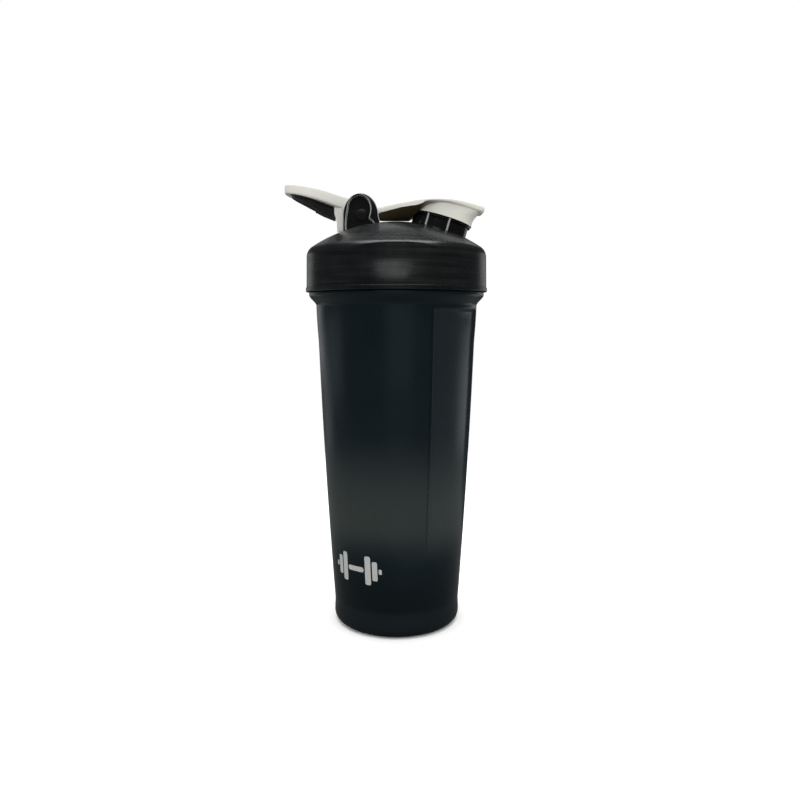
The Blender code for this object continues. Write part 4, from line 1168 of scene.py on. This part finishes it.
def plate_ring(share):
    """A ring inside the cap's plate, at a share of its outline."""
    ring = []
    for angle in even_angles(SPOUT_STEPS):
        x = CAP_MIDDLE_X + share * PLATE_REACH * math.cos(angle)
        most = 0.93 * cap_half_width(x)
        y = share * PLATE_HALF_WIDTH * math.sin(angle)
        ring.append(Vector((x, min(max(y, -most), most), (cap_top(x) + 2 * cap_bottom(x)) / 3)))
    return ring


def skirt_rings():
    """The skirt flares from a circle round the spout up to the outline of the cap's plate."""
    place = spout_frame()
    circle = []
    for angle in even_angles(SPOUT_STEPS):
        flat = SKIRT_RADIUS * Vector(polar(1, angle))
        circle.append(place @ (flat + Vector((0, 0, SKIRT_BOTTOM))))
    rings = []
    for rise in between(0, 1, 20):
        ring = []
        for low, high in zip(circle, plate_ring(1)):
            point = low.lerp(high, rise**2.1)
            point.z = low.z + (high.z - low.z) * rise
            ring.append(point)
        rings.append(ring)
    return rings + [plate_ring(0.6), plate_ring(0.15)]


def make_flip_cap(material):
    cap = add_object("cap_shell", lofted(cap_sections()), material)
    inside = SKIRT_RADIUS - 0.1 * MM
    clearance = spout_rod("cap_ring_clearance", inside, SPOUT_ROOT, SKIRT_BOTTOM + 0.2 * MM, material)
    skirt = add_object("cap_skirt", lofted(skirt_rings()), material)
    hub = hinge_rod("cap_hub", HUB_RADIUS, -ARM_HALF_WIDTH, ARM_HALF_WIDTH, material)
    round_edges(hub, 0.3 * MM)
    cavity = spout_rod("cap_cavity", SKIRT_INSIDE, SKIRT_BOTTOM - 3 * MM, CAP_CEILING, material)
    hole = hinge_rod("cap_pin_hole", PIN_RADIUS + PIN_PLAY, -LEG_OUTSIDE, LEG_OUTSIDE, material)
    combine(cap, "DIFFERENCE", clearance)
    for solid in (skirt, hub):
        combine(cap, "UNION", solid)
    for cutter in (cavity, hole):
        combine(cap, "DIFFERENCE", cutter)
    settle(cap, clearance, skirt, hub, cavity, hole)
    finish_piece(cap, "cap_body", "off_white", "flip_cap")


def make_plug(material):
    top = CAP_CEILING - TOUCH_GAP
    flange = top - PLUG_FLANGE
    tip = SPOUT_RIM - PLUG_DEPTH
    profile = [(0, flange), (PLUG_RADIUS - PLUG_WALL, flange), (PLUG_TIP_RADIUS - PLUG_WALL, tip)]
    profile += [(PLUG_TIP_RADIUS - 0.2 * MM, tip), (PLUG_TIP_RADIUS, tip + 0.2 * MM)]
    profile += [(PLUG_RADIUS, SPOUT_RIM - 0.4 * MM), (PLUG_RADIUS, flange)]
    profile += [(PLUG_FLANGE_RADIUS - 0.2 * MM, flange), (PLUG_FLANGE_RADIUS, flange + 0.2 * MM)]
    profile += [(PLUG_FLANGE_RADIUS, top), (0, top)]
    plug = add_object("plug_seal", on_spout(turned(profile, even_angles(SPOUT_STEPS))), material)
    finish_piece(plug, "cap_body", "black_silicone", "spout_plug")


# Carry loop


def loop_top(x):
    """The band rises towards its tip, and its underside rises a little faster, so it narrows."""
    return BAND_TOP + BAND_TOP_SLOPE * (LEG_X - x)


def loop_bottom(x):
    return BAND_BOTTOM + BAND_BOTTOM_SLOPE * (LEG_X - x)


def grip_top(x):
    return loop_top(x) - GRIP_BELOW_TOP


def grip_bottom(x):
    """The lining hangs further below the band towards the hinge."""
    share = (x - LOOP_TIP_X) / (GRIP_END_X - LOOP_TIP_X)
    return loop_bottom(x) - GRIP_BELOW_BOTTOM - GRIP_HANG * max(share, 0) ** 1.6


def loop_path(start_x):
    """The middle of the band in plan, from the front leg round the tip to the back leg."""
    round_x = LOOP_TIP_X + LOOP_HALF_SECTION + LOOP_ROUND_LENGTH
    leg_middle = (LEG_INSIDE + LEG_OUTSIDE) / 2
    leg = []
    for x in between(start_x, round_x, 36)[:-1]:
        spread = smooth_step(-x, 26 * MM, 43 * MM)
        leg.append((x, leg_middle + (LOOP_HALF_WIDTH - leg_middle) * spread))
    front = [(x, -y) for x, y in leg]
    tip = []
    for degrees in between(0, 180, 54):
        angle = math.radians(degrees)
        tip.append((round_x - LOOP_ROUND_LENGTH * math.sin(angle), -LOOP_HALF_WIDTH * math.cos(angle)))
    return front + tip + list(reversed(leg))


def inward(path, index):
    """The direction in plan from a point of the loop's path to the inside of the loop."""
    before = Vector(path[max(index - 1, 0)])
    after = Vector(path[min(index + 1, len(path) - 1)])
    along = (after - before).normalized()
    return Vector((along.y, -along.x))


def swept_band(path, inset, half_section, low, high, power):
    """A band of rounded section beside a plan path, between two heights that depend on x."""
    rings = []
    for index, (x, y) in enumerate(path):
        across = inward(path, index)
        middle = (low(x) + high(x)) / 2
        half_height = (high(x) - low(x)) / 2
        ring = []
        for angle in even_angles(40):
            out, up = superellipse(angle, power)
            out = inset + half_section * out
            ring.append((x + across.x * out, y + across.y * out, middle + half_height * up))
        rings.append(ring)
    return lofted(rings)


def leg_outline():
    """One leg seen from the front: from the band, over the hinge, and down to the heel on the dome."""
    root = DOME_TOP - EAR_ROOT
    heel_front = HEEL_X + HEEL_WIDTH
    hub_reach = HUB_RADIUS - 0.3 * MM
    outline = [(LEG_BACK_X, loop_bottom(LEG_BACK_X) + 1 * MM), (LEG_BACK_X, PIVOT.z + 1 * MM)]
    outline += [(LEG_BACK_X + 0.6 * MM, PIVOT.z - 1 * MM), (HEEL_X - 0.3 * MM, PIVOT.z - 3.5 * MM)]
    outline += [(HEEL_X, root), (heel_front, root), (heel_front + 0.6 * MM, PIVOT.z - 6.4 * MM)]
    outline += [(PIVOT.x - 2.5 * MM, PIVOT.z - 4 * MM), (PIVOT.x, PIVOT.z - hub_reach)]
    outline += [(PIVOT.x, PIVOT.z + hub_reach), (PIVOT.x - 4.5 * MM, PIVOT.z + 7 * MM)]
    outline.append((LEG_X - 1 * MM, PIVOT.z + 7.5 * MM))
    return outline


def make_loop(material):
    band = swept_band(loop_path(-23 * MM), 0, LOOP_HALF_SECTION, loop_bottom, loop_top, 0.4)
    loop = add_object("loop_band", band, material)
    clear_dome = dome_ball(DOME_RADIUS + 0.4 * MM, "loop_dome_clearance")
    used = [clear_dome]
    for side, word in ((-1, "front"), (1, "back")):
        inner = side * LEG_INSIDE
        outer = side * LEG_OUTSIDE
        leg = add_object(f"loop_leg_{word}", slab(leg_outline(), inner, outer), material)
        combine(leg, "DIFFERENCE", clear_dome)
        round_edges(leg, 0.35 * MM)
        low, high = sorted((-inner, -outer))
        hub = hinge_rod(f"loop_hub_{word}", HUB_RADIUS, low, high, material)
        round_edges(hub, 0.3 * MM)
        combine(loop, "UNION", leg)
        combine(loop, "UNION", hub)
        used += [leg, hub]
    reach = LEG_OUTSIDE + 1 * MM
    hole = hinge_rod("loop_pin_hole", PIN_RADIUS + PIN_PLAY, -reach, reach, material)
    combine(loop, "DIFFERENCE", hole)
    settle(loop, hole, *used)
    finish_piece(loop, "loop_body", "off_white", "carry_loop")


def make_lining(material):
    inset = LOOP_HALF_SECTION + TOUCH_GAP + GRIP_WIDTH / 2
    lining = swept_band(loop_path(GRIP_END_X), inset, GRIP_WIDTH / 2, grip_bottom, grip_top, 0.5)
    lining = add_object("loop_lining", lining, material)
    finish_piece(lining, "loop_body", "soft_grip", "loop_grip")


# Whisk ball


def make_whisk(material):
    """One stainless wire wound into a ball, from pole to pole."""
    centre = (BALL_LOW + BALL_HIGH) / 2
    radius = (BALL_HIGH.x - BALL_LOW.x) / 2 - WIRE_RADIUS
    steps = WHISK_TURNS * 56
    pole = math.radians(WHISK_POLE_ANGLE)
    path = []
    for share in between(0, 1, steps):
        tilt = pole + (math.pi - 2 * pole) * share
        turn = math.tau * WHISK_TURNS * share
        flat = radius * math.sin(tilt)
        path.append(Vector((flat * math.cos(turn), flat * math.sin(turn), radius * math.cos(tilt))))
    rings = []
    for index, point in enumerate(path):
        along = path[min(index + 1, steps)] - path[max(index - 1, 0)]
        out = point.normalized()
        side = along.cross(out).normalized()
        ring = []
        for angle in even_angles(14):
            ring.append(centre + point + WIRE_RADIUS * (out * math.cos(angle) + side * math.sin(angle)))
        rings.append(ring)
    whisk = add_object("whisk_wire", lofted(rings), material)
    finish_piece(whisk, "whisk_body", "stainless_wire", "whisk_ball")


# Studio


def make_camera():
    data = bpy.data.cameras.new("camera")
    data.lens = CAMERA_LENS
    data.sensor_width = CAMERA_SENSOR
    camera = place_in_scene("camera", data)
    camera.location = CAMERA_PLACE
    camera.rotation_euler = (math.radians(90 - CAMERA_TIP), 0, 0)
    bpy.context.scene.camera = camera


def add_softbox(name, direction, distance, size, radiance):
    """A soft rectangular light; its direction is its azimuth and elevation round the bottle."""
    azimuth, elevation = (math.radians(value) for value in direction)
    data = bpy.data.lights.new(name, "AREA")
    data.shape = "RECTANGLE"
    data.size, data.size_y = size
    data.energy = radiance * math.pi * size[0] * size[1]
    light = place_in_scene(name, data)
    light.visible_camera = False
    offset = Vector(polar(distance * math.cos(elevation), azimuth, distance * math.sin(elevation)))
    light.location = LIGHTS_AIM + offset
    light.rotation_mode = "QUATERNION"
    light.rotation_quaternion = (-offset).to_track_quat("-Z", "Y")


def make_world():
    """Even light from above the table's level, a plain backdrop, and a dim room for gloss to reflect."""
    world = bpy.data.worlds.new("studio")
    world.use_nodes = True
    tree = world.node_tree
    path = tree.nodes.new("ShaderNodeLightPath")
    light = tree.nodes["Background"]
    for ray, strength in (("Is Glossy Ray", ROOM_REFLECTION), ("Is Camera Ray", BACKDROP)):
        other = tree.nodes.new("ShaderNodeBackground")
        other.inputs["Color"].default_value = (1, 1, 1, 1)
        other.inputs["Strength"].default_value = strength
        mix = tree.nodes.new("ShaderNodeMixShader")
        tree.links.new(path.outputs[ray], mix.inputs["Fac"])
        tree.links.new(light.outputs[0], mix.inputs[1])
        tree.links.new(other.outputs[0], mix.inputs[2])
        light = mix
    direction = tree.nodes.new("ShaderNodeSeparateXYZ")
    tree.links.new(tree.nodes.new("ShaderNodeTexCoord").outputs["Generated"], direction.inputs["Vector"])
    strength = map_range(tree, direction.outputs["Z"], *HORIZON, AMBIENT_BELOW, AMBIENT)
    tree.nodes["Background"].inputs["Color"].default_value = (1, 1, 1, 1)
    tree.links.new(strength, tree.nodes["Background"].inputs["Strength"])
    tree.links.new(light.outputs[0], tree.nodes["World Output"].inputs["Surface"])
    bpy.context.scene.world = world


def make_floor():
    """A small pale floor. The bottle gets little of its light back, as from a floor in a darker room."""
    bm = bmesh.new()
    bmesh.ops.create_circle(bm, cap_ends=True, segments=96, radius=FLOOR_RADIUS)
    nodes = Nodes("pale_floor")
    tone = nodes.mix(nodes.mottle(9, 3), *FLOOR_COLOURS)
    nodes.set(Base_Color=tone, Roughness=0.8, Specular_IOR_Level=0.1)
    path = nodes.add("ShaderNodeLightPath").outputs
    shown = nodes.shader.outputs["BSDF"]
    for ray, grey in (("Is Diffuse Ray", FLOOR_BOUNCE), ("Is Glossy Ray", FLOOR_REFLECTION)):
        dim = nodes.add("ShaderNodeBsdfDiffuse")
        dim.inputs["Color"].default_value = (grey, grey, grey, 1)
        mix = nodes.add("ShaderNodeMixShader")
        nodes.link(path[ray], mix.inputs["Fac"])
        nodes.link(shown, mix.inputs[1])
        nodes.link(dim.outputs["BSDF"], mix.inputs[2])
        shown = mix.outputs["Shader"]
    nodes.link(shown, nodes.tree.nodes["Material Output"].inputs["Surface"])
    floor = add_object("floor", bm, nodes.material)


def main():
    bpy.context.scene.view_settings.view_transform = "Standard"
    make_camera()
    make_world()
    make_floor()
    for name, direction, distance, size, radiance in SOFTBOXES:
        add_softbox(name, direction, distance, size, radiance)
    smoke = cup_material()
    black = lid_material()
    gloss = gloss_material("gloss_black", GLOSS_COLOURS, rough=0.12)
    # A light grey gloss: the painted highlight on the ears' rims and the spout's ribs
    painted_edge_highlight = gloss_material("painted_edge_highlight", EDGE_HIGHLIGHT_COLOURS, rough=0.14)
    white = white_plastic("off_white").material
    silicone = silicone_material()
    make_cup(smoke)
    make_mark(print_material())
    make_lid(black, gloss, painted_edge_highlight)
    make_gasket(silicone)
    make_pin(gloss)
    make_flip_cap(cap_material())
    make_plug(silicone)
    make_loop(white)
    make_lining(grip_material())
    make_whisk(wire_material())


main()
